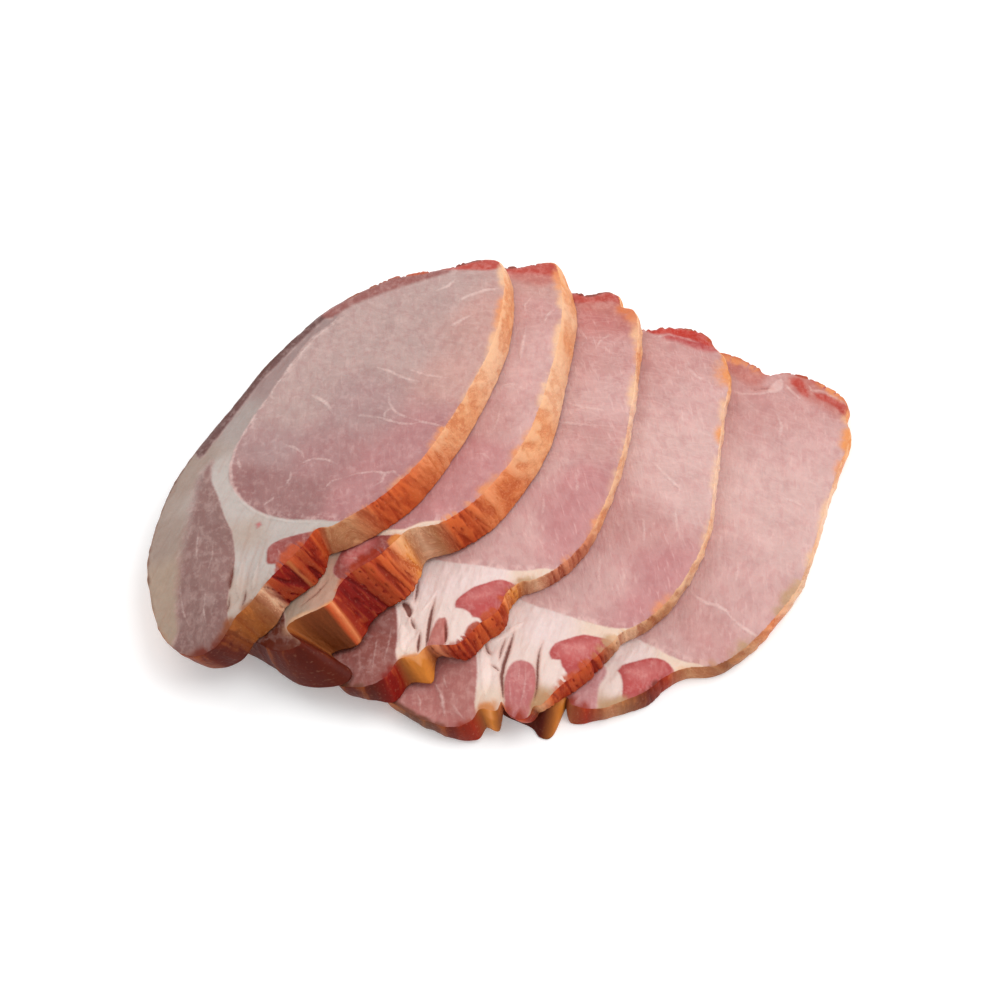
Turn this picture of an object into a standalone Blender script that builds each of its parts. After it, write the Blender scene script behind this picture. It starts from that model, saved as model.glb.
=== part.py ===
"""Sliced smoked pork loin: five cured slices lying shingled in the order they were cut.

Each slice is one cross-section of the loin: a long eye muscle and, past a notch in its rim, a tail
of fat and small muscles. Slice 5 lies flat, and every other slice is draped on the ones below it.
Sizes are in millimetres up to the meshes, which are in metres with +Z up, and the origin is the
middle of the underside's box.
"""

from dataclasses import dataclass

import bmesh
import bpy
import numpy as np
from mathutils import Vector
from mathutils.geometry import delaunay_2d_cdt

MM = 0.001
NAME = "sliced_smoked_pork_loin"

# How the slices lie.
GAP = 0.6  # clear space between a slice and what it rests on
STIFF_REACH = 44.0  # how far a slice bridges past an edge below it, at its far end
REACH_FROM, REACH_TO = 8.0, 73.0  # where along Y the tail's own reach turns into this one

# How the meshes are divided.
EDGE_STEP = 2.8  # between points round an edge
FACE_STEP = 5.6  # between points on a cut face
RIM_LEVELS = (0.0, 0.3, 0.72, 1.0)  # heights of the rings of points up the rim
FOOT_EVENING = 14  # rounds of evening out the direction in which the rim's foot stands out
EDGE_FLUTE = 0.5  # share of a flute's depth that reaches the rim's two edges
RIM_BULGE = 0.5  # how far the rim swells between its two edges
RIM_WAVES = ((17.0, 0.2), (9.5, 0.2), (6.0, 0.15))  # wavelength and height of its flutes
FLUTE_GROWTH = 0.3  # how much deeper the flutes are for each millimetre that the foot stands out
FACE_WAVE = 0.25  # how far a slice's thickness varies

# A section's edge is given in its own frame, u across and v along, clockwise, by its landmarks:
# the notch under the eye muscle is (0, 0) and the far corner of the eye lies up +v. A tail's
# landmarks have a third value, how far the foot of the rim stands out there.
TAIL_V, FAR_V = -35.0, 113.0  # the ends between which a slice's thickness changes
BACK_FOOT = 0.2  # how far the rim's foot stands out on the side that lay next to the bone
# That side on the first slice and on the last one, which is squarer.
ROUND_BACK = (
    (-47.5, -23.5), (-51.7, -10.5), (-54, 3), (-53.3, 18), (-51, 34), (-49, 50), (-46.2, 62), (-41.5, 76),
)
SQUARE_BACK = (
    (-54, -22), (-59, -9), (-62, 5), (-62, 20), (-61, 37), (-60, 53), (-58, 68), (-56, 84),
)


@dataclass
class Slice:
    """One slice: where its notch lies, how far it is turned, how thick it is, and its edge."""

    name: str
    notch: tuple
    turn: float  # degrees clockwise from +Y to the line to the far corner
    far_thickness: float
    tail_thickness: float
    squareness: float  # 0 for the rounded back, 1 for the square one
    reach: float  # how far its tail end bridges past an edge below it
    rim_foot: float  # how far the foot of the eye's rim stands out
    eye: tuple  # landmarks of the eye's rim, from the far corner down
    tail: tuple  # landmarks from the notch round to the back
    far_end: tuple  # landmarks from the back up to the far corner
    color: tuple

    def world(self, u, v):
        """Plan position of a point of the section."""
        angle = np.radians(self.turn)
        x = self.notch[0] + u * np.cos(angle) + v * np.sin(angle)
        y = self.notch[1] - u * np.sin(angle) + v * np.cos(angle)
        return x, y

    def along(self, x, y):
        """The section's v at a plan position."""
        angle = np.radians(self.turn)
        return (x - self.notch[0]) * np.sin(angle) + (y - self.notch[1]) * np.cos(angle)


SLICES = (
    Slice(
        name="slice_1",
        notch=(-50.3, -29.5),
        turn=24.3,
        far_thickness=7.5,
        tail_thickness=11,
        squareness=0.0,
        reach=28,
        rim_foot=2.2,
        eye=((0, 113.6), (6, 106), (10, 96), (13, 86), (15, 74), (16, 56), (15.5, 38), (13.5, 24),
             (8.5, 12), (3, 4)),
        tail=((0, 0, 2), (-3, -2, 3), (-4, -8, 4), (-6, -14, 4), (-9, -22, 3), (-10, -28, 4),
              (-12, -34, 4), (-12.5, -38, 4), (-14, -43, 5), (-19, -46.5, 4), (-26, -46, 1),
              (-32.5, -42.5, 0), (-39.3, -35.3, 0)),
        far_end=((-38, 81.5), (-33, 88.5), (-27, 95.7), (-20.5, 100.3), (-14, 105), (-6, 112.3)),
        color=(0.60, 0.36, 0.35),
    ),
    Slice(
        name="slice_2",
        notch=(-28.4, -27.1),
        turn=21.6,
        far_thickness=8,
        tail_thickness=12,
        squareness=0.15,
        reach=28,
        rim_foot=2.8,
        eye=((0.5, 115), (3, 111.5), (7, 104), (11, 94), (14.5, 82), (17, 68), (19.5, 51), (20, 40),
             (18.5, 27), (15, 14), (8, 4)),
        tail=((0, 0, 4), (-2, -4, 7), (-5, -10.5, 9), (-10, -16.5, 9), (-12, -22, 9),
              (-12, -28, 9), (-21, -38, 9), (-14.5, -42.5, 11), (-20, -45.5, 4.5), (-29, -43.5, 1),
              (-37, -40, 0), (-41.5, -34.5, 0)),
        far_end=((-33, 92), (-23, 102), (-13, 109), (-8, 110.8), (-4, 113.7)),
        color=(0.66, 0.37, 0.36),
    ),
    Slice(
        name="slice_3",
        notch=(6.6, -40.9),
        turn=14.0,
        far_thickness=5.5,
        tail_thickness=6.5,
        squareness=0.8,
        reach=24,
        rim_foot=0.8,
        eye=((0, 113), (2.5, 107.8), (6, 107), (8.5, 102), (10.7, 91), (13, 76), (15, 50), (14, 32),
             (11, 16), (5.5, 5.5)),
        tail=((0, 0, 0.5), (-3, -1.5, 1), (-6, -6, 2), (-7, -12, 3), (-11, -18, 3),
              (-15, -25, 2), (-24, -26, 1), (-26, -29, 6), (-30.5, -30.5, 5), (-32.5, -36.5, 5),
              (-35.5, -40, 2), (-45, -40.5, 0), (-50, -33, 0)),
        far_end=((-38, 93), (-28, 104), (-15, 113.5), (-9, 112.7), (-4, 115)),
        color=(0.70, 0.40, 0.40),
    ),
    Slice(
        name="slice_4",
        notch=(31.5, -54.1),
        turn=19.0,
        far_thickness=5,
        tail_thickness=6,
        squareness=0.8,
        reach=20,
        rim_foot=0.6,
        eye=((0, 105), (4, 97), (5, 89), (7, 77), (10, 60), (13, 43), (12.5, 29), (9, 14), (5, 6)),
        tail=((0, 0, 0.5), (-1.5, -3.5, 1), (-5, -11, 1.5), (-8, -17, 1.5), (-11, -22.5, 1),
              (-14, -29, 0.5), (-16, -30, 0.5), (-16.5, -33, 0.5), (-21, -34, 0.5),
              (-25, -31, 0.3), (-25.5, -33.5, 5), (-30, -34.5, 5), (-31, -37.5, 5),
              (-35, -40.5, 2.5), (-43, -41, -0.5), (-51, -39.5, -1.5), (-57, -37, -1.5),
              (-58, -31, -0.5)),
        far_end=((-46, 92), (-38, 102), (-26, 109), (-20, 112), (-12, 113), (-7, 111.5), (-4, 108.3)),
        color=(0.70, 0.40, 0.41),
    ),
    Slice(
        name="slice_5",
        notch=(49.7, -61.5),
        turn=29.8,
        far_thickness=5,
        tail_thickness=6,
        squareness=1.0,
        reach=20,
        rim_foot=0.4,
        eye=((0, 107), (2, 102), (5, 98), (7, 90), (8, 83), (9.5, 74), (14, 52), (15.5, 42),
             (15, 33), (12, 16), (7, 5)),
        tail=((0, 0, 0.5), (-4, -6, 1), (-6, -12, 1.5), (-10, -18, 1), (-15, -24, 0.5),
              (-22, -26.5, 2.5), (-24.5, -25, 0.5), (-26, -27, 8), (-28.5, -30, 7.5),
              (-31, -29.5, 6.5), (-38, -31, 5), (-47, -33, 1)),
        far_end=((-53, 94), (-48, 102), (-41, 106.5), (-31, 107), (-27, 105.5), (-21, 109.8),
                 (-12, 110.8), (-4, 109.7)),
        color=(0.72, 0.43, 0.43),
    ),
)


def smooth(share):
    """0 up to 0, 1 from 1 on, with a soft start and end between them."""
    share = np.clip(share, 0, 1)
    return share * share * (3 - 2 * share)


def spline(landmarks):
    """A closed smooth curve through the landmarks, with a point at each and every EDGE_STEP."""
    points = np.array(landmarks, float)
    count = len(points)
    samples = []
    for i in range(count):
        before, start, end, after = (points[(i + step) % count] for step in (-1, 0, 1, 2))
        chords = [
            np.hypot(*(q - p)[:2]) ** 0.5
            for p, q in ((before, start), (start, end), (end, after))
        ]
        leave = (start - before) / chords[0] - (end - before) / (chords[0] + chords[1])
        leave = (leave + (end - start) / chords[1]) * chords[1]
        arrive = (end - start) / chords[1] - (after - start) / (chords[1] + chords[2])
        arrive = (arrive + (after - end) / chords[2]) * chords[1]
        steps = max(1, round(np.hypot(*(end - start)[:2]) / EDGE_STEP))
        for t in np.arange(steps) / steps:
            samples.append(
                start * (2 * t**3 - 3 * t**2 + 1) + leave * (t**3 - 2 * t**2 + t)
                + end * (3 * t**2 - 2 * t**3) + arrive * (t**3 - t**2)
            )
    return np.array(samples)


def section(piece):
    """The slice's edge as rows of x, y and foot."""
    round_back, square_back = np.array(ROUND_BACK, float), np.array(SQUARE_BACK, float)
    back = round_back + (square_back - round_back) * piece.squareness
    edge = spline((
        *((u, v, piece.rim_foot) for u, v in piece.eye),
        *piece.tail,
        *((u, v, BACK_FOOT) for u, v in (*back, *piece.far_end)),
    ))
    edge[:, 0], edge[:, 1] = piece.world(edge[:, 0], edge[:, 1])
    return edge


def outward(loop, rounds=0):
    """Unit vectors pointing out of a clockwise loop, evened out over their neighbours."""
    ahead = np.roll(loop, -1, 0) - np.roll(loop, 1, 0)
    normals = np.stack([-ahead[:, 1], ahead[:, 0]], 1)
    for _ in range(rounds):
        normals = (np.roll(normals, -1, 0) + 2 * normals + np.roll(normals, 1, 0)) / 4
    return normals / np.linalg.norm(normals, axis=1)[:, None]


def distance_inside(x, y, loop):
    """How far points lie inside a closed loop, negative outside it."""
    places = np.stack([x, y], -1)[..., None, :]
    step = np.roll(loop, -1, 0) - loop
    share = ((places - loop) * step).sum(-1) / (step**2).sum(-1)
    nearest = loop + np.clip(share, 0, 1)[..., None] * step
    distance = np.linalg.norm(places - nearest, axis=-1).min(-1)
    px, py = places[..., 0], places[..., 1]
    ax, ay = loop[:, 0], loop[:, 1]
    bx, by = np.roll(ax, -1), np.roll(ay, -1)
    with np.errstate(divide="ignore", invalid="ignore"):
        crossing_x = ax + (bx - ax) * (py - ay) / (by - ay)
    crossed = ((ay > py) != (by > py)) & (px < crossing_x)
    return np.where(crossed.sum(-1) % 2 == 1, distance, -distance)


def thickness(number, x, y):
    """Height of a slice between its two faces."""
    piece = SLICES[number]
    share = np.clip((piece.along(x, y) - TAIL_V) / (FAR_V - TAIL_V), 0, 1)
    even = piece.tail_thickness + share * (piece.far_thickness - piece.tail_thickness)
    return even + FACE_WAVE * np.sin(x / 9 + 2 * number) * np.sin(y / 11 + number)


def underside(number, x, y, edges):
    """Height of a slice's lower face: the slices below it, each sagging away past its edge."""
    stiffer = smooth((y - REACH_FROM) / (REACH_TO - REACH_FROM))
    reach = SLICES[number].reach + (STIFF_REACH - SLICES[number].reach) * stiffer
    height = np.zeros_like(x)
    for below in range(number + 1, len(SLICES)):
        inside = distance_inside(x, y, edges[below][:, :2])
        height += smooth(inside / reach + 1) * (thickness(below, x, y) + GAP)
    return height


def flutes(edge, seed):
    """How far the rim stands in or out at each point of an edge, the same from foot to top."""
    draw = np.random.default_rng(seed)
    loop, foot = edge[:, :2], edge[:, 2]
    lengths = np.linalg.norm(loop - np.roll(loop, 1, 0), axis=1).cumsum()
    offset = np.zeros(len(loop))
    for wavelength, height in RIM_WAVES:
        turns = round(lengths[-1] / wavelength)
        offset += height * np.sin(2 * np.pi * (lengths * turns / lengths[-1] + draw.random()))
    return offset * (1 + FLUTE_GROWTH * foot)


def rings(number, edges):
    """The rim's rings of points, from the foot up to the upper edge."""
    top = edges[number][:, :2]
    normal = outward(top)
    x, y = top.T
    height = thickness(number, x, y)
    slope_x = (underside(number, x + 1, y, edges) - underside(number, x - 1, y, edges)) / 2
    slope_y = (underside(number, x, y + 1, edges) - underside(number, x, y - 1, edges)) / 2
    lean = height[:, None] * np.stack([slope_x, slope_y], 1)
    foot = top + lean + outward(top, FOOT_EVENING) * edges[number][:, 2:3]
    low = underside(number, *foot.T, edges)
    high = underside(number, x, y, edges) + height
    flute = flutes(edges[number], number)
    found = []
    for level in RIM_LEVELS:
        round_share = 4 * level * (1 - level)
        swell = RIM_BULGE * round_share + flute * (EDGE_FLUTE + (1 - EDGE_FLUTE) * round_share)
        plan = foot + (top - foot) * level + normal * swell[:, None]
        found.append(np.column_stack([plan, low + (high - low) * level]))
    return found


def cap(loop):
    """Grid points inside a loop and the triangles that join them to it, facing up."""
    low, high = loop.min(0), loop.max(0)
    row_step = FACE_STEP * 3**0.5 / 2
    grid = []
    for row in range(int(low[1] // row_step), int(high[1] // row_step) + 2):
        start = (row % 2) * FACE_STEP / 2
        for column in range(int(low[0] // FACE_STEP) - 1, int(high[0] // FACE_STEP) + 2):
            grid.append((start + column * FACE_STEP, row * row_step))
    grid = np.array(grid)
    grid = grid[distance_inside(*grid.T, loop) > 0.45 * FACE_STEP]
    count = len(loop)
    points = [Vector(p) for p in (*loop, *grid)]
    border = [(i, (i + 1) % count) for i in range(count)]
    found = delaunay_2d_cdt(points, border, [], 1, 1e-6)
    triangles = [[found[3][corner][0] for corner in face] for face in found[2]]
    return grid, triangles


def make_solid(number, edges):
    """The closed mesh of one slice, in millimetres."""
    rim = rings(number, edges)
    solid = bmesh.new()
    loops = [[solid.verts.new(point) for point in ring] for ring in rim]
    count = len(loops[0])
    for lower, upper in zip(loops, loops[1:]):
        for i in range(count):
            j = (i + 1) % count
            solid.faces.new((lower[i], upper[i], upper[j], lower[j]))
    for ring, loop, extra, facing in ((rim[0], loops[0], 0, -1), (rim[-1], loops[-1], 1, 1)):
        grid, triangles = cap(ring[:, :2])
        x, y = grid.T
        z = underside(number, x, y, edges) + extra * thickness(number, x, y)
        verts = loop + [solid.verts.new(point) for point in zip(x, y, z)]
        for triangle in triangles:
            solid.faces.new([verts[corner] for corner in triangle[::facing]])
    bmesh.ops.recalc_face_normals(solid, faces=solid.faces)
    return solid


def make_material(name, color):
    material = bpy.data.materials.new(name)
    material.use_nodes = True
    shader = material.node_tree.nodes["Principled BSDF"]
    shader.inputs["Base Color"].default_value = (*color, 1)
    shader.inputs["Roughness"].default_value = 0.42
    shader.inputs["Metallic"].default_value = 0
    return material


def main():
    for old in list(bpy.data.objects):
        bpy.data.objects.remove(old, do_unlink=True)
    parts = bpy.data.collections.new(NAME)
    bpy.context.scene.collection.children.link(parts)

    edges = [section(piece) for piece in SLICES]
    solids = [make_solid(number, edges) for number in range(len(SLICES))]
    plan = np.array([vert.co[:2] for solid in solids for vert in solid.verts])
    middle = (plan.min(0) + plan.max(0)) / 2
    for piece, solid in zip(SLICES, solids):
        bmesh.ops.translate(solid, verts=solid.verts, vec=(-middle[0], -middle[1], 0))
        bmesh.ops.scale(solid, verts=solid.verts, vec=(MM, MM, MM))
        mesh = bpy.data.meshes.new(piece.name)
        solid.to_mesh(mesh)
        solid.free()
        mesh.materials.append(make_material(piece.name, piece.color))
        mesh.shade_smooth()
        mesh.set_sharp_from_angle(angle=np.radians(50))
        parts.objects.link(bpy.data.objects.new(piece.name, mesh))


main()
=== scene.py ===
"""Sliced smoked pork loin: the dressed slices and the stage that they lie on.

Five cured slices lie shingled in the order they were cut. Each has a long eye muscle, a seam of
fat under it and a tail of small muscles, inside a rim of smoked skin. Sizes are in millimetres up
to the meshes, which are in metres with +Z up.
"""

from dataclasses import dataclass

import bpy
import numpy as np
from bpy.props import FloatProperty, FloatVectorProperty, PointerProperty
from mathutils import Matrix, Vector
from mathutils.geometry import delaunay_2d_cdt


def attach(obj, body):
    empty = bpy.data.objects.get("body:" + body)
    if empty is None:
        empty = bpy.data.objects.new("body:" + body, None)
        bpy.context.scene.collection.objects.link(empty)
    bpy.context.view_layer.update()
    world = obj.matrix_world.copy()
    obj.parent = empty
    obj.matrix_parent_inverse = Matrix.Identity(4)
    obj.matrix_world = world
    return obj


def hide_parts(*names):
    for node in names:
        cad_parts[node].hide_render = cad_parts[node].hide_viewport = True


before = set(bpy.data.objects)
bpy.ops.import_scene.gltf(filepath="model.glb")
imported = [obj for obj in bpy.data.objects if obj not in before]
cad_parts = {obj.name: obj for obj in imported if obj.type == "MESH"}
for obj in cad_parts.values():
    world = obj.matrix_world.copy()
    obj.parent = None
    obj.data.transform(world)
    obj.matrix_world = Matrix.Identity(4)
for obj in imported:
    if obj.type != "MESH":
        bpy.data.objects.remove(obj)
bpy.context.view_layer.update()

bl_info = {
    "name": "Sliced smoked pork loin",
    "version": (1, 0, 0),
    "blender": (4, 5, 0),
    "location": "3D View > Sidebar > Pork loin",
    "description": "Makes five shingled slices of smoked pork loin and their stage",
    "category": "Add Mesh",
}

MM = 0.001

# How the slices lie, the same as in the solid model.
MIDDLE = (0.11, -1.09)  # of the slices' plan box, which lies over the origin
GAP = 0.6  # clear space between a slice and what it rests on
STIFF_REACH = 44.0  # how far a slice bridges past an edge below it, at its far end
REACH_FROM, REACH_TO = 8.0, 73.0  # where along Y the tail's own reach turns into this one
DRAPE_STEP = 2.8  # between points round an edge that a slice is draped on
FOOT_EVENING = 14 * DRAPE_STEP**2  # how far the direction that the foot stands out in is evened out
TAIL_V, FAR_V = -35.0, 113.0  # the ends between which a slice's thickness changes
BACK_FOOT = 0.2  # how far the rim's foot stands out on the side that lay next to the bone
FACE_WAVE = 0.25  # how far a slice's thickness varies
RIM_BULGE = 0.5  # how far the rim swells between its two edges

# Relief, as (height, size, seed) of each random layer from coarse to fine.
HILLS = ((0.2, 11, 21), (0.09, 4.2, 22), (0.04, 1.6, 23))
KNOBS = ((0.65, 2.6, 8), (0.35, 1.2, 9))
STRAND_SLANT = (0.16, 0.06)  # along u and v, of the rim's strands for each millimetre of height
EYE_SLANT = (1.0, 0.5)  # the same for the marks in the skin round the eye
EDGE_ROUNDING = 0.14  # how far the rim's foot and its upper edge are drawn in
EDGE_DROP = 0.16  # how far the upper face sinks at its edge

# The cured meat's finish that is the same all over.
MEAT_SHADER = {
    "Coat Roughness": 0.15, "IOR": 1.38, "Specular IOR Level": 0.2, "Subsurface Weight": 0.12,
    "Subsurface Radius": (1.0, 0.4, 0.3), "Subsurface Scale": 0.0012,
}
STROKE_TURN = -28  # degrees that the frame of the lean's strokes is turned by
BUMP_STRENGTH, BUMP_DEPTH = 0.7, 0.0004

# The stage, in metres from the third line on.
AIM = (-2.66, -5.97, 10)  # where the camera looks
SENSOR_WIDTH = 36
NEAREST_SEEN = 0.05  # what is closer to the camera doesn't show
LAMPS = (("key", 0.9, (0.55, 0.15, 0.95)), ("back", 0.7, (-0.55, 0.6, 0.75)))  # name, size, place
FLOOR_DROP = 0.0002  # how far the floor lies below the slices, so that the two don't coincide
FLOOR_ROUGHNESS = 0.9

ROUND_BACK = (
    (-47.5, -23.5), (-51.7, -10.5), (-54, 3), (-53.3, 18), (-51, 34), (-49, 50), (-46.2, 62), (-41.5, 76),
)
SQUARE_BACK = (
    (-54, -22), (-59, -9), (-62, 5), (-62, 20), (-61, 37), (-60, 53), (-58, 68), (-56, 84),
)


@dataclass
class Slice:
    """One slice: how it lies, its edge, and the tissues that its cut faces and its rim show.

    Places are in the section's own frame, u across and v along from the notch under the eye.
    """

    name: str
    notch: tuple
    turn: float  # degrees clockwise from +Y to the line to the far corner
    far_thickness: float
    tail_thickness: float
    squareness: float  # 0 for the rounded back, 1 for the square one
    reach: float  # how far its tail end bridges past an edge below it
    rim_foot: float  # how far the foot of the eye's rim stands out
    eye: tuple  # landmarks of the eye's rim, from the far corner down
    tail: tuple  # landmarks from the notch round to the back
    far_end: tuple  # landmarks from the back up to the far corner
    flecks: float  # how strongly the ends of its fibres show
    muscles: tuple  # (color, softness, outline) of each lean area, later ones on top
    flesh: tuple  # (color, place) of the eye muscle's shades
    fat: tuple  # (color, place) of the fat's shades
    veins: tuple  # (width, path) of fat and sinew in the muscles
    cracks: tuple  # (width, path) of gaps between strands
    stains: tuple  # (color, strength, width, place, radius) of what goes in from the rim
    skin: tuple  # (color, fibre, place) round the rim

    def world(self, u, v):
        """Plan position of a point of the section."""
        angle = np.radians(self.turn)
        x = self.notch[0] + u * np.cos(angle) + v * np.sin(angle)
        y = self.notch[1] - u * np.sin(angle) + v * np.cos(angle)
        return np.stack([x, y], -1)

    def section(self, plan):
        """The section's u and v at plan positions."""
        angle = np.radians(self.turn)
        x, y = plan[..., 0] - self.notch[0], plan[..., 1] - self.notch[1]
        u = x * np.cos(angle) - y * np.sin(angle)
        v = x * np.sin(angle) + y * np.cos(angle)
        return np.stack([u, v], -1)


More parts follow.
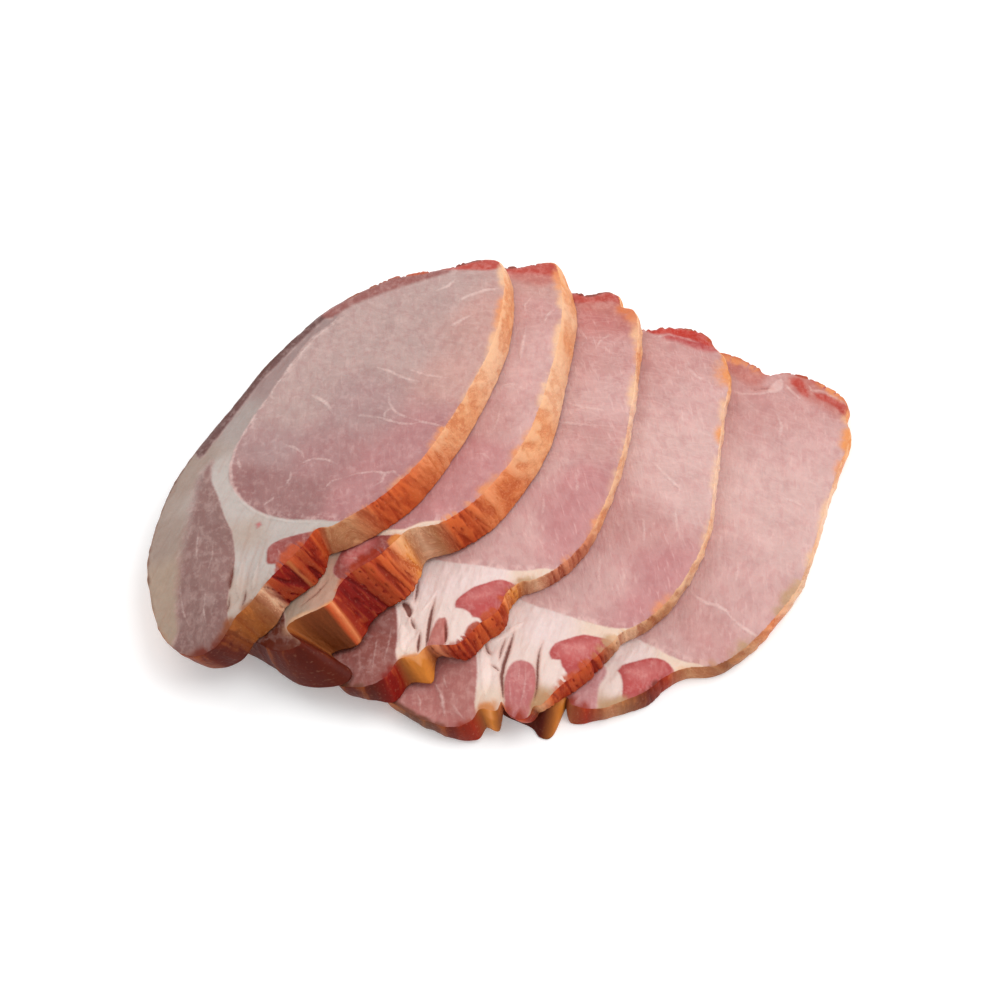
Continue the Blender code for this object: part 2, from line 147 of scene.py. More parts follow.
TOP_SLICE = Slice(
    name="slice_1", notch=(-50.3, -29.5), turn=24.3, far_thickness=7.5, tail_thickness=11,
    squareness=0.0, reach=28, rim_foot=2.2,
    eye=((0, 113.6), (6, 106), (10, 96), (13, 86), (15, 74), (16, 56), (15.5, 38), (13.5, 24),
        (8.5, 12), (3, 4)),
    tail=((0, 0, 2), (-3, -2, 3), (-4, -8, 4), (-6, -14, 4), (-9, -22, 3), (-10, -28, 4), (-12, -34, 4),
        (-12.5, -38, 4), (-14, -43, 5), (-19, -46.5, 4), (-26, -46, 1), (-32.5, -42.5, 0),
        (-39.3, -35.3, 0)),
    far_end=((-38, 81.5), (-33, 88.5), (-27, 95.7), (-20.5, 100.3), (-14, 105), (-6, 112.3)),
    flecks=0.5,
    muscles=(
        ("eye", 0.45, ((-36, 75), (-40, 66), (-41.3, 55), (-41.7, 40), (-41.7, 30), (-41, 20),
            (-39, 12), (-35.5, 6), (-30.5, 2.6), (-25, 0.4), (-20, -0.8), (-13, -1.1), (-8, -0.3),
            (-4, 1), (0, 2.2), (5, 4), (20, 16), (24, 50), (20, 84), (10, 112), (0, 122), (-14, 112),
            (-30, 100), (-42, 84))),
        ("lilac", 1, ((-45.5, 13, 1.6), (-43.5, 9, 0.9), (-41, 5, 0.5), (-38, 2, 0.5), (-35, -1, 0.5),
            (-31, -5.5, 0.4), (-27, -9, 0.4), (-24, -13, 0.4), (-21.5, -17, 0.3), (-20, -21, 0.3),
            (-18.5, -26, 0.3), (-16.5, -31, 0.3), (-13.5, -36, 0.3), (-10, -39, 0.3), (-10, -46, 0.5),
            (-18, -52, 1), (-26, -50, 1), (-27.5, -41, 1), (-30, -37, 1.2), (-32.5, -32, 1.6),
            (-34.5, -27, 2), (-37, -22, 2.2), (-38.5, -17, 2.4), (-40, -12, 2.4), (-42, -7, 2.2),
            (-44.5, 0, 2), (-46.5, 7, 1.8))),
        ("plum", 0.7, ((-50.4, 14), (-49, 22), (-48, 34), (-47, 45), (-45.3, 53), (-43.1, 62),
            (-41, 69), (-38, 77), (-35.6, 84), (-42, 88), (-50, 66), (-56, 40), (-56, 20))),
        ("dusk", 0.9, ((-38, 74), (-35.2, 78), (-31.4, 83), (-26.2, 88.6), (-19.6, 95), (-14.5, 100.2),
            (-11.4, 104), (-14, 112), (-34, 100), (-46, 80))),
        ("coral", 0.8, ((-14.5, 104.6), (-12, 105.2), (-8, 106.2), (-4.8, 106.9), (-1, 107.8),
            (1.6, 109.2), (3, 112), (0, 122), (-14, 114))),
        ("dark_rose", 0.4, ((-2.4, -2.3), (-5, -4), (-9, -6.3), (-11.7, -7.8), (-14, -11), (-13, -14),
            (-11.5, -16.3), (-9.2, -15.8), (-8, -18.5), (-6, -22), (2, -16), (3, -4))),
        ("rose", 0.6, ((-21.6, -4.6), (-20.6, -3.4), (-19.4, -4.4), (-20.3, -5.9))),
    ),
    flesh=(
        # The greyest pinks of the upper half hold painted sheen as well as the drier surface.
        ("dry_sheen_pink", (-25, 82)), ("dry_sheen_pink", (-10, 92)), ("dry_sheen_pink", (-12, 66)),
        ("peach_pink", (8, 88)), ("peach_pink", (10, 62)), ("dry_sheen_pink", (-30, 60)),
        ("dry_sheen_pink", (-32, 40)), ("mauve", (-12, 45)), ("rose_mauve", (11, 40)), ("mauve", (-30, 22)),
        ("dim_mauve", (-15, 22)), ("rose_mauve", (6, 20)), ("deep_mauve", (-29, 8)),
        ("deep_mauve", (-12, 6)), ("rose_mauve", (2, 8)),
    ),
    fat=(
        # The grey and dull fat of the back hold painted shade.
        ("grey_fat", (-45, 66)), ("grey_fat", (-45, 48)), ("cool_fat", (-45.5, 28)),
        ("white_fat", (-41.5, 8)), ("white_fat", (-36.5, 4)), ("white_fat", (-29, 0)),
        ("warm_fat", (-22, -8)), ("white_fat", (-16, -16)), ("warm_fat", (-14, -28)),
        ("dull_fat", (-50, 5)), ("dull_fat", (-46, -15)), ("tan_fat", (-39, -29)),
        ("tan_fat", (-33, -40)), ("dull_fat", (-51, 14)), ("white_fat", (-14, -2)),
    ),
    veins=(
        (0.2, ((-33, 77), (-38.2, 67), (-40.6, 56), (-41.2, 44), (-41.4, 32))),
        (0.55, ((-41.4, 36), (-41.4, 28), (-40.8, 20), (-38.8, 12), (-35, 5.8), (-30, 2), (-25, -0.2),
            (-19, -1.6), (-12, -1.8), (-6, -0.8), (-1, 1))),
        (0.4, ((17, 42.6), (11, 43.2), (7.5, 43.6), (4.5, 44.2))),
        (0.3, ((8.5, 43.6), (5.5, 42.2), (1.5, 41.6), (-4, 41.8), (-9, 40.5), (-13, 38.5))),
        (0.32, ((7, 43.8), (2, 44.4), (-1.5, 45.4), (-4.5, 47.6), (-6.6, 51))),
        (0.22, ((-3.5, 46.6), (-4.2, 44), (-3.6, 42))),
        (0.34, ((14.5, 18.8), (11.2, 22), (8.5, 23.4), (6.5, 22.4), (3, 22.2), (-1, 20.6), (-5, 17))),
        (0.3, ((6.5, 22.4), (7, 19.4), (5.6, 17))),
        (0.22, ((-4, 18), (-7, 14.8), (-7.6, 12))),
        (0.34, ((-8, 21), (-12, 21.8), (-16, 21), (-19, 18.4))),
        (0.5, ((-30, 44.5), (-26, 43.4), (-22, 41.6), (-18.5, 38.4))),
        (0.3, ((-28, 24.6), (-24, 24), (-20.6, 22.6), (-18.6, 20.4))),
        (0.32, ((-20.4, 15), (-19.2, 12.5), (-19.4, 9.6))),
        (0.35, ((-38, 15.2), (-36.4, 13.2), (-35, 11.6))),
        (0.35, ((-16, 58.6), (-10, 58.8), (-4, 58.2), (2, 58.6))),
        (0.25, ((-6, 62), (1, 61.4), (8, 61.8))),
        (0.2, ((-20, 6), (-21.6, 3.6), (-22.4, 1))),
        (0.5, ((4, 88), (1, 84), (-1, 81))),
        (0.6, ((7, 101), (3, 99), (-1, 94.6), (-3, 91))),
        (0.5, ((-8, 101), (-8.6, 97), (-12, 93))),
        (0.1, ((-33, -29), (-30.5, -33), (-27.5, -37), (-24.5, -39.6))),
        (0.1, ((-36, -12), (-34, -17), (-31, -22))),
        (0.05, ((-24, -30), (-22, -35), (-19, -39))),
        (0.05, ((-30, -14), (-27.6, -19), (-26.6, -24))),
        (0.1, ((-7.4, -13.2), (-9.4, -12.4), (-11, -11))),
        (1.1, ((-19.4, -16), (-17.6, -20.4), (-15.8, -25), (-13.4, -29.4))),
        (0.7, ((-14.6, -16), (-13, -21), (-11.6, -25.4))),
    ),
    cracks=(
        (0.4, ((-21, -19), (-19.8, -22), (-18.8, -25), (-17.8, -27.4))),
        (0.25, ((-17.2, -28.4), (-15.8, -31.4), (-15.2, -34))),
        (-0.1, ((-17.4, -10), (-16.6, -15), (-15.6, -20), (-14, -24.5), (-12.4, -28))),
        (-0.15, ((-19.6, -12), (-18.6, -17), (-17, -22), (-15.2, -26))),
        (-0.1, ((-15.6, -9), (-14.8, -14), (-13.2, -19), (-11.6, -23))),
        (-0.15, ((-21.6, -8), (-20.8, -13), (-19.8, -17))),
        (0.3, ((-13.6, -25.4), (-12.6, -28), (-12.2, -31))),
    ),
    stains=(
        ("butter", 1.0, 1.5, (4.5, 106), 6), ("smoke", 0.8, 1.8, (12, 92), 9),
        ("butter", 0.7, 1.4, (14, 80), 7), ("butter", 0.6, 1.1, (16, 62), 10),
        ("smoke", 0.6, 1.6, (15.6, 42), 10), ("smoke", 0.5, 1.8, (12, 21), 9),
        ("smoke", 0.5, 1.4, (6, 8), 6), ("wheat", 0.6, 1.0, (-3, -2), 4),
        ("ember", 0.9, 2.2, (-6, -12), 6), ("tawny", 0.8, 1.2, (-11, -29.5), 4.5),
        ("ochre", 0.9, 2.2, (-12.6, -36.5), 4), ("brick", 0.9, 1.8, (-15, -44.5), 7),
        ("wheat", 0.4, 1.0, (-30, -44), 7), ("bark", 0.5, 0.8, (-46, -26), 20),
        ("bark", 0.6, 0.6, (-53.5, 6), 22), ("plum_bark", 1.0, 0.9, (-50, 45), 30),
        ("umber", 0.9, 0.7, (-32, 89), 9), ("ember", 0.9, 0.8, (-21, 100), 7),
        ("brick", 1.0, 0.7, (-9, 110), 7),
    ),
    skin=(
        ("peach", 0.3, (0, 113.6)), ("apricot", 0.3, (7, 104)), ("apricot", 0.4, (12, 92)),
        ("peach", 0.4, (14.6, 78)), ("peach", 0.4, (15.6, 68)), ("apricot", 0.5, (16, 55)),
        ("apricot", 0.6, (15.8, 44)), ("orange", 0.7, (15, 32)), ("ember", 0.7, (12, 20)),
        ("ember", 0.8, (8, 11)), ("wheat", 0.5, (3, 4)), ("wheat", 0.5, (-0.6, -0.6)),
        ("ember", 0.8, (-2.4, -2.4)), ("rust", 0.9, (-4, -6)), ("crimson", 1.0, (-5.2, -10.6)),
        ("rust", 1.0, (-5.9, -13.4)), ("umber", 0.9, (-6.2, -14.2)), ("crimson", 1.0, (-6.5, -15)),
        ("crimson", 1.0, (-7.4, -18)), ("crimson", 1.0, (-8.8, -21.6)), ("sand", 0.7, (-9.5, -24.4)),
        ("tawny", 0.7, (-10, -27)), ("ochre", 0.7, (-10.8, -30.6)), ("ochre", 0.5, (-12.3, -36)),
        ("maroon", 0.6, (-12.8, -39.5)), ("maroon", 0.5, (-15, -44.5)), ("brick", 0.4, (-24, -46.3)),
        ("umber", 0.3, (-31, -43)), ("wheat", 0.3, (-38, -37)), ("wheat", 0.3, (-44, -29)),
        ("bark", 0.3, (-52, -8)), ("bark", 0.3, (-53.5, 14)), ("plum_bark", 0.3, (-51.5, 30)),
        ("plum_bark", 0.3, (-47, 60)), ("plum_bark", 0.4, (-39, 80)), ("rust", 0.8, (-30, 92)),
        ("ember", 0.8, (-20.5, 100)), ("rust", 0.8, (-13, 106)), ("crimson", 0.8, (-7, 111.5)),
    ),
)
SECOND_SLICE = Slice(
    name="slice_2", notch=(-28.4, -27.1), turn=21.6, far_thickness=8, tail_thickness=12,
    squareness=0.15, reach=28, rim_foot=2.8,
    eye=((0.5, 115), (3, 111.5), (7, 104), (11, 94), (14.5, 82), (17, 68), (19.5, 51), (20, 40),
        (18.5, 27), (15, 14), (8, 4)),
    tail=((0, 0, 4), (-2, -4, 7), (-5, -10.5, 9), (-10, -16.5, 9), (-12, -22, 9), (-12, -28, 9),
        (-21, -38, 9), (-14.5, -42.5, 11), (-20, -45.5, 4.5), (-29, -43.5, 1), (-37, -40, 0),
        (-41.5, -34.5, 0)),
    far_end=((-33, 92), (-23, 102), (-13, 109), (-8, 110.8), (-4, 113.7)),
    flecks=0.6,
    muscles=(
        ("eye", 0.4, ((-36, 75), (-42, 60), (-43, 40), (-43, 20), (-40, 10), (-33, 3), (-24, 0),
            (-16, -1.3), (-10, -1.3), (-5, -0.9), (-1, 0.1), (1.6, 2.6), (6, 4.6), (11, 6), (26, 20),
            (30, 50), (24, 84), (10, 112), (0, 124), (-20, 114), (-36, 100))),
        # The outer muscle's dark color is largely painted shade.
        ("shaded_wine", 0.4, ((-46, 12), (-41, 4), (-35, -1), (-31, -7), (-28, -14), (-27, -22),
            (-26, -30), (-23, -35), (-20, -39.5), (-13, -41), (-10, -46), (-18, -52), (-34, -50),
            (-42, -30), (-44, -12))),
        ("dusky_rose", 2.4, ((-14, 104), (-6, 103), (0, 102.5), (4, 106), (0, 112), (-12, 110))),
        ("coral", 1.2, ((-15, 107), (-10, 106.4), (-5, 107.4), (-1, 108.2), (3, 109), (0, 120),
            (-16, 116))),
        ("dark_rose", 0.35, ((0, -1.7), (-2, -2.4), (-5, -3), (-9, -3.8), (-13, -5.3), (-15.7, -8.2),
            (-16.4, -13), (-15.6, -18), (-12.4, -20), (-9, -20.3), (-4, -18), (5, -10), (4, -2))),
        ("blush_rose", 2.0, ((-8, -5.4), (-13.4, -8), (-14.6, -13), (-12, -15), (-8.6, -10))),
    ),
    flesh=(
        ("peach_pink", (4, 104)), ("pink", (3, 92)), ("light_pink", (7, 76)), ("light_pink", (9, 62)),
        ("light_pink", (16, 68)), ("light_pink", (17.6, 46)), ("pink", (10, 45)),
        ("pink_rose", (9, 30)), ("pink_rose", (8, 18)), ("pink_rose", (2, 9)), ("pink_rose", (-10, 50)),
        ("pink_rose", (-10, 25)), ("pink_mauve", (-30, 60)), ("pink_mauve", (-30, 25)),
    ),
    fat=(
        ("cream_fat", (-4, -1.4)), ("cream_fat", (4, 3)), ("blush_fat", (-15, -23)),
        ("blush_fat", (-15, -28)), ("tan_fat", (-20, -33)), ("grey_fat", (-46, 40)),
        ("warm_fat", (-32, 0)),
    ),
    veins=(
        (0.4, ((3, 84), (4.4, 78), (5.6, 73), (7, 69))),
        (0.25, ((8, 50), (9, 46), (9.4, 41))),
        (0.3, ((13, 30), (10, 31.6), (7, 31))),
        (0.26, ((-9, -13), (-11.4, -12.2), (-13.6, -12.6))),
        (0.25, ((4, 58), (7, 60), (11, 60.4))),
        (0.4, ((9, 94), (7.6, 90), (8, 86))),
        (0.35, ((0, 98), (-1, 93), (1, 89))),
        (0.5, ((-16, -1.6), (-10, -1.9), (-5, -1.6), (-1, -0.4), (3, 3), (9, 5.2))),
    ),
    cracks=(
        (0.2, ((-16, -21), (-17.2, -26), (-20, -31))),
    ),
    stains=(
        ("smoke", 1.0, 2.0, (6, 107), 7), ("butter", 0.8, 1.8, (9.6, 98), 6),
        ("butter", 0.8, 1.6, (14, 82), 9), ("butter", 0.6, 1.6, (18.6, 58), 12),
        ("smoke", 0.6, 1.8, (19.6, 38), 10), ("smoke", 0.7, 2.2, (16, 18), 9),
        ("smoke", 0.5, 1.6, (9, 6), 5), ("amber", 0.9, 1.6, (-2.4, -4), 2.6),
        ("rust", 0.9, 2.4, (-7, -12), 6), ("ember", 0.7, 1.2, (-11.6, -20), 5),
        ("amber", 0.7, 0.8, (-13, -29), 4), ("butter", 1.0, 1.1, (-18, -35), 5),
        # The maroon stain at (-20, -44) is painted shade on the outer muscle.
        ("maroon", 0.7, 2.5, (-20, -44), 9), ("brick", 1.0, 0.7, (-12, 109.6), 7),
        ("ember", 1.0, 0.7, (-2, 114.6), 6),
    ),
    skin=(
        ("apricot", 0.3, (0.5, 115)), ("amber", 0.3, (4, 110)), ("apricot", 0.3, (9, 100)),
        ("peach", 0.3, (11, 94)), ("apricot", 0.3, (14.5, 83)), ("peach", 0.3, (16, 74)),
        ("peach", 0.4, (18, 60)), ("apricot", 0.4, (19.5, 50)), ("apricot", 0.5, (20, 38)),
        ("orange", 0.6, (18.6, 27)), ("orange", 0.7, (16.6, 17)), ("ember", 0.8, (13, 9)),
        ("ember", 0.9, (9.4, 5.4)), ("wheat", 0.5, (6, 2.8)), ("sand", 0.5, (2, 1)),
        ("wheat", 0.5, (-0.4, -1.4)), ("amber", 0.9, (-1.6, -3.4)), ("orange", 1.0, (-2.8, -6)),
        ("ember", 1.0, (-4, -8.8)), ("rust", 1.0, (-6.5, -12.6)), ("crimson", 1.0, (-9.4, -16)),
        ("crimson", 0.9, (-11.7, -21)), ("crimson", 0.8, (-12, -24)), ("rust", 0.6, (-12, -26.4)),
        ("orange", 0.3, (-12.1, -27.7)), ("ember", 0.2, (-12.6, -28.8)), ("rind", 0.15, (-13.4, -29.8)),
        ("rind", 0.15, (-15, -31.4)), ("rind", 0.15, (-18, -34.6)), ("ochre", 0.15, (-21, -38)),
        # The maroon round the outer muscle is painted shade as well as dark smoked lean.
        ("maroon", 0.4, (-18.4, -40.4)), ("maroon", 0.4, (-14.5, -42.5)), ("maroon", 0.4, (-20, -45.5)),
        ("maroon", 0.4, (-30, -43)), ("brick", 0.4, (-37, -40)), ("bark", 0.3, (-45, -28)),
        ("bark", 0.3, (-55, 10)), ("plum_bark", 0.3, (-48, 60)), ("rust", 0.8, (-22, 103)),
        ("crimson", 0.9, (-9, 110.4)), ("rust", 0.8, (-4, 113.7)),
    ),
)
THIRD_SLICE = Slice(
    name="slice_3", notch=(6.6, -40.9), turn=14.0, far_thickness=5.5, tail_thickness=6.5,
    squareness=0.8, reach=24, rim_foot=0.8,
    eye=((0, 113), (2.5, 107.8), (6, 107), (8.5, 102), (10.7, 91), (13, 76), (15, 50), (14, 32),
        (11, 16), (5.5, 5.5)),
    tail=((0, 0, 0.5), (-3, -1.5, 1), (-6, -6, 2), (-7, -12, 3), (-11, -18, 3), (-15, -25, 2),
        (-24, -26, 1), (-26, -29, 6), (-30.5, -30.5, 5), (-32.5, -36.5, 5), (-35.5, -40, 2),
        (-45, -40.5, 0), (-50, -33, 0)),
    far_end=((-38, 93), (-28, 104), (-15, 113.5), (-9, 112.7), (-4, 115)),
    flecks=1.0,
    muscles=(
        ("eye", 0.4, ((-44, 80), (-50, 60), (-51, 40), (-50, 20), (-44, 10), (-36, 6), (-28, 3.4),
            (-22, 2.2), (-15, 1.3), (-9, 1.3), (-5, 1.8), (-2, 2.8), (2, 4.6), (8, 6), (20, 20),
            (22, 50), (18, 84), (10, 112), (0, 124), (-20, 120), (-40, 104))),
        ("lilac_rose", 0.5, ((-56, 4), (-48, 0), (-42, -6), (-37, -12), (-34.6, -18), (-33, -24),
            (-32, -29), (-30, -33), (-29, -40), (-40, -48), (-58, -40), (-64, -10))),
        ("dusky_rose", 2.4, ((-16, 106), (-8, 104.6), (0, 103), (6, 99), (11, 100), (6, 114),
            (-10, 116))),
        ("coral", 0.9, ((-16, 109.6), (-12, 108.4), (-6, 109.2), (-1, 110), (2, 109), (6, 106.4),
            (9, 108), (0, 121), (-16, 119))),
        ("bright_rose", 0.4, ((-4.6, -2.6), (-7.4, -2.1), (-10, -2.6), (-12.4, -4.2), (-15.4, -6),
            (-17.6, -8.2), (-19.4, -11), (-18.9, -13.4), (-16.8, -13.6), (-14.8, -14.6), (-13.4, -16),
            (-11.4, -16), (-10, -17.4), (-8, -22), (0, -14), (0, -4))),
        ("blush_rose", 2.0, ((-6.4, -3.6), (-10, -4), (-13, -6), (-16.6, -9), (-17.4, -11.6),
            (-13.4, -10.6), (-9, -7))),
        ("brick_rose", 0.5, ((-10.6, -17), (-13, -17.8), (-14.2, -20.6), (-14, -23.4), (-15.6, -25.6),
            (-12, -29), (-6, -20))),
        ("dusky_rose", 0.5, ((-22.8, -16.8), (-21, -16.6), (-19.6, -19.6), (-18.7, -23.6), (-19.4, -27),
            (-23.6, -27), (-24, -22.4), (-23.6, -18.8))),
    ),
    flesh=(
        ("warm_rose", (1, 102)), ("pink", (2, 88)), ("light_pink", (3, 68)), ("pink", (6, 52)),
        ("pink_rose", (6, 36)), ("pink_rose", (4, 20)), ("light_pink", (-5, 42)),
        ("light_pink", (-8, 16)), ("light_pink", (-15, 8)), ("light_pink", (-23, 6)),
        ("pink_rose", (-30, 50)), ("pink_rose", (-30, 25)),
    ),
    fat=(
        ("pink_fat", (-22, -2)), ("pink_fat", (-28, -6)), ("pale_fat", (-16, -19)),
        ("pale_fat", (-28, -15)), ("pale_fat", (-29, -24)), ("cream_fat", (-3, 1)),
        ("cream_fat", (-28, -31)), ("pink_fat", (-53, 30)), ("pink_fat", (-10, 0)),
    ),
    veins=(
        (0.3, ((3, 40), (4.6, 36), (5.4, 32))),
        (0.28, ((-4, 30), (-3, 26), (-2.6, 22))),
        (0.06, ((-36, -20), (-35, -26), (-34.6, -32))),
        (0.06, ((-39, -24), (-38, -30), (-37, -36))),
        (0.4, ((-12, 60), (-5, 57.8), (1, 57.4), (6, 58.2))),
        (0.35, ((-6, 66), (0, 64.4), (7, 64))),
        (0.3, ((2, 96), (-1, 92), (-2, 88))),
        (1.4, ((-33.4, -18.6), (-31.6, -22), (-30.2, -26), (-28.8, -28.6))),
        (0.5, ((-26, -7), (-27, -11), (-28.4, -14.6))),
    ),
    cracks=(
        (0.6, ((-25.9, -10), (-25.6, -15), (-25.1, -19), (-24.5, -23), (-23.9, -27.5))),
        (0.4, ((-21, -17.4), (-20, -20), (-19.1, -23), (-18.6, -26.5))),
        (0.95, ((-35.4, -11.2), (-33.6, -12.6), (-32.2, -14.4), (-31.4, -16.6))),
        (0.4, ((-31.2, -16.6), (-30, -18.6), (-28.6, -20.4))),
        (0.3, ((-32.6, -4), (-31.8, -8), (-31.4, -11.4))),
        (0.5, ((-27.2, -21), (-26.6, -25), (-25.8, -28.6))),
    ),
    stains=(
        ("orange", 1.0, 3.0, (6, 105), 6), ("butter", 0.9, 2.0, (9.6, 97), 6),
        ("smoke", 0.6, 1.4, (11, 88), 6), ("butter", 0.6, 1.6, (13.5, 72), 12),
        ("butter", 0.5, 1.6, (15, 46), 14), ("smoke", 0.5, 1.6, (13, 24), 8),
        ("smoke", 0.5, 1.6, (8, 10), 6), ("straw_fat", 0.9, 2.0, (-2, -1), 4),
        ("ember", 0.8, 1.6, (-6, -6), 4), ("ember", 0.8, 1.4, (-8, -15), 6),
        ("rust", 0.8, 1.2, (-13, -23), 6), ("gold", 1.0, 1.1, (-28, -30), 3.2),
        ("crimson", 0.9, 1.4, (-32.6, -36), 4.5), ("bark", 0.8, 1.2, (-44, -41), 8),
        ("brick", 1.0, 0.8, (-8, 113.4), 7), ("umber", 0.9, 0.6, (-3, 115), 3),
    ),
    skin=(
        ("amber", 0.5, (0, 113)), ("amber", 0.5, (3, 108)), ("amber", 0.4, (6.5, 106)),
        ("peach", 0.4, (9, 99)), ("apricot", 0.4, (11, 89)), ("peach", 0.4, (12.4, 80)),
        ("pale_peach", 0.4, (14, 66)), ("peach", 0.4, (15, 50)), ("peach", 0.4, (14.4, 36)),
        ("apricot", 0.5, (13.4, 27)), ("tan", 0.7, (11.6, 17)), ("tan", 0.8, (8.6, 11)),
        ("tan", 0.8, (4.6, 4.6)), ("sand", 0.5, (0.8, 0.8)), ("wheat", 0.6, (-2.4, -1)),
        ("gold", 0.8, (-4.4, -3)), ("amber", 0.9, (-5.8, -6)), ("ember", 0.9, (-6.8, -10)),
        ("rust", 1.0, (-7.6, -14)), ("ember", 1.0, (-10.6, -17.2)), ("rust", 0.9, (-14, -23.6)),
        ("rust", 0.8, (-17.5, -25.8)), ("tan", 0.8, (-21, -25.8)), ("umber", 0.8, (-24, -26)),
        ("gold", 0.1, (-25.6, -28.4)), ("gold", 0.1, (-28, -30)), ("ochre", 0.2, (-30.2, -30.8)),
        ("crimson", 0.6, (-31.2, -33)), ("crimson", 0.6, (-32.6, -36.6)), ("maroon", 0.5, (-36, -40)),
        ("maroon", 0.4, (-45, -40.5)), ("brick", 0.4, (-52, -28)), ("bark", 0.3, (-60, 10)),
        ("bark", 0.3, (-56, 70)), ("rust", 0.8, (-28, 104)), ("crimson", 0.9, (-13, 113.4)),
        ("rust", 0.9, (-4, 115)),
    ),
)
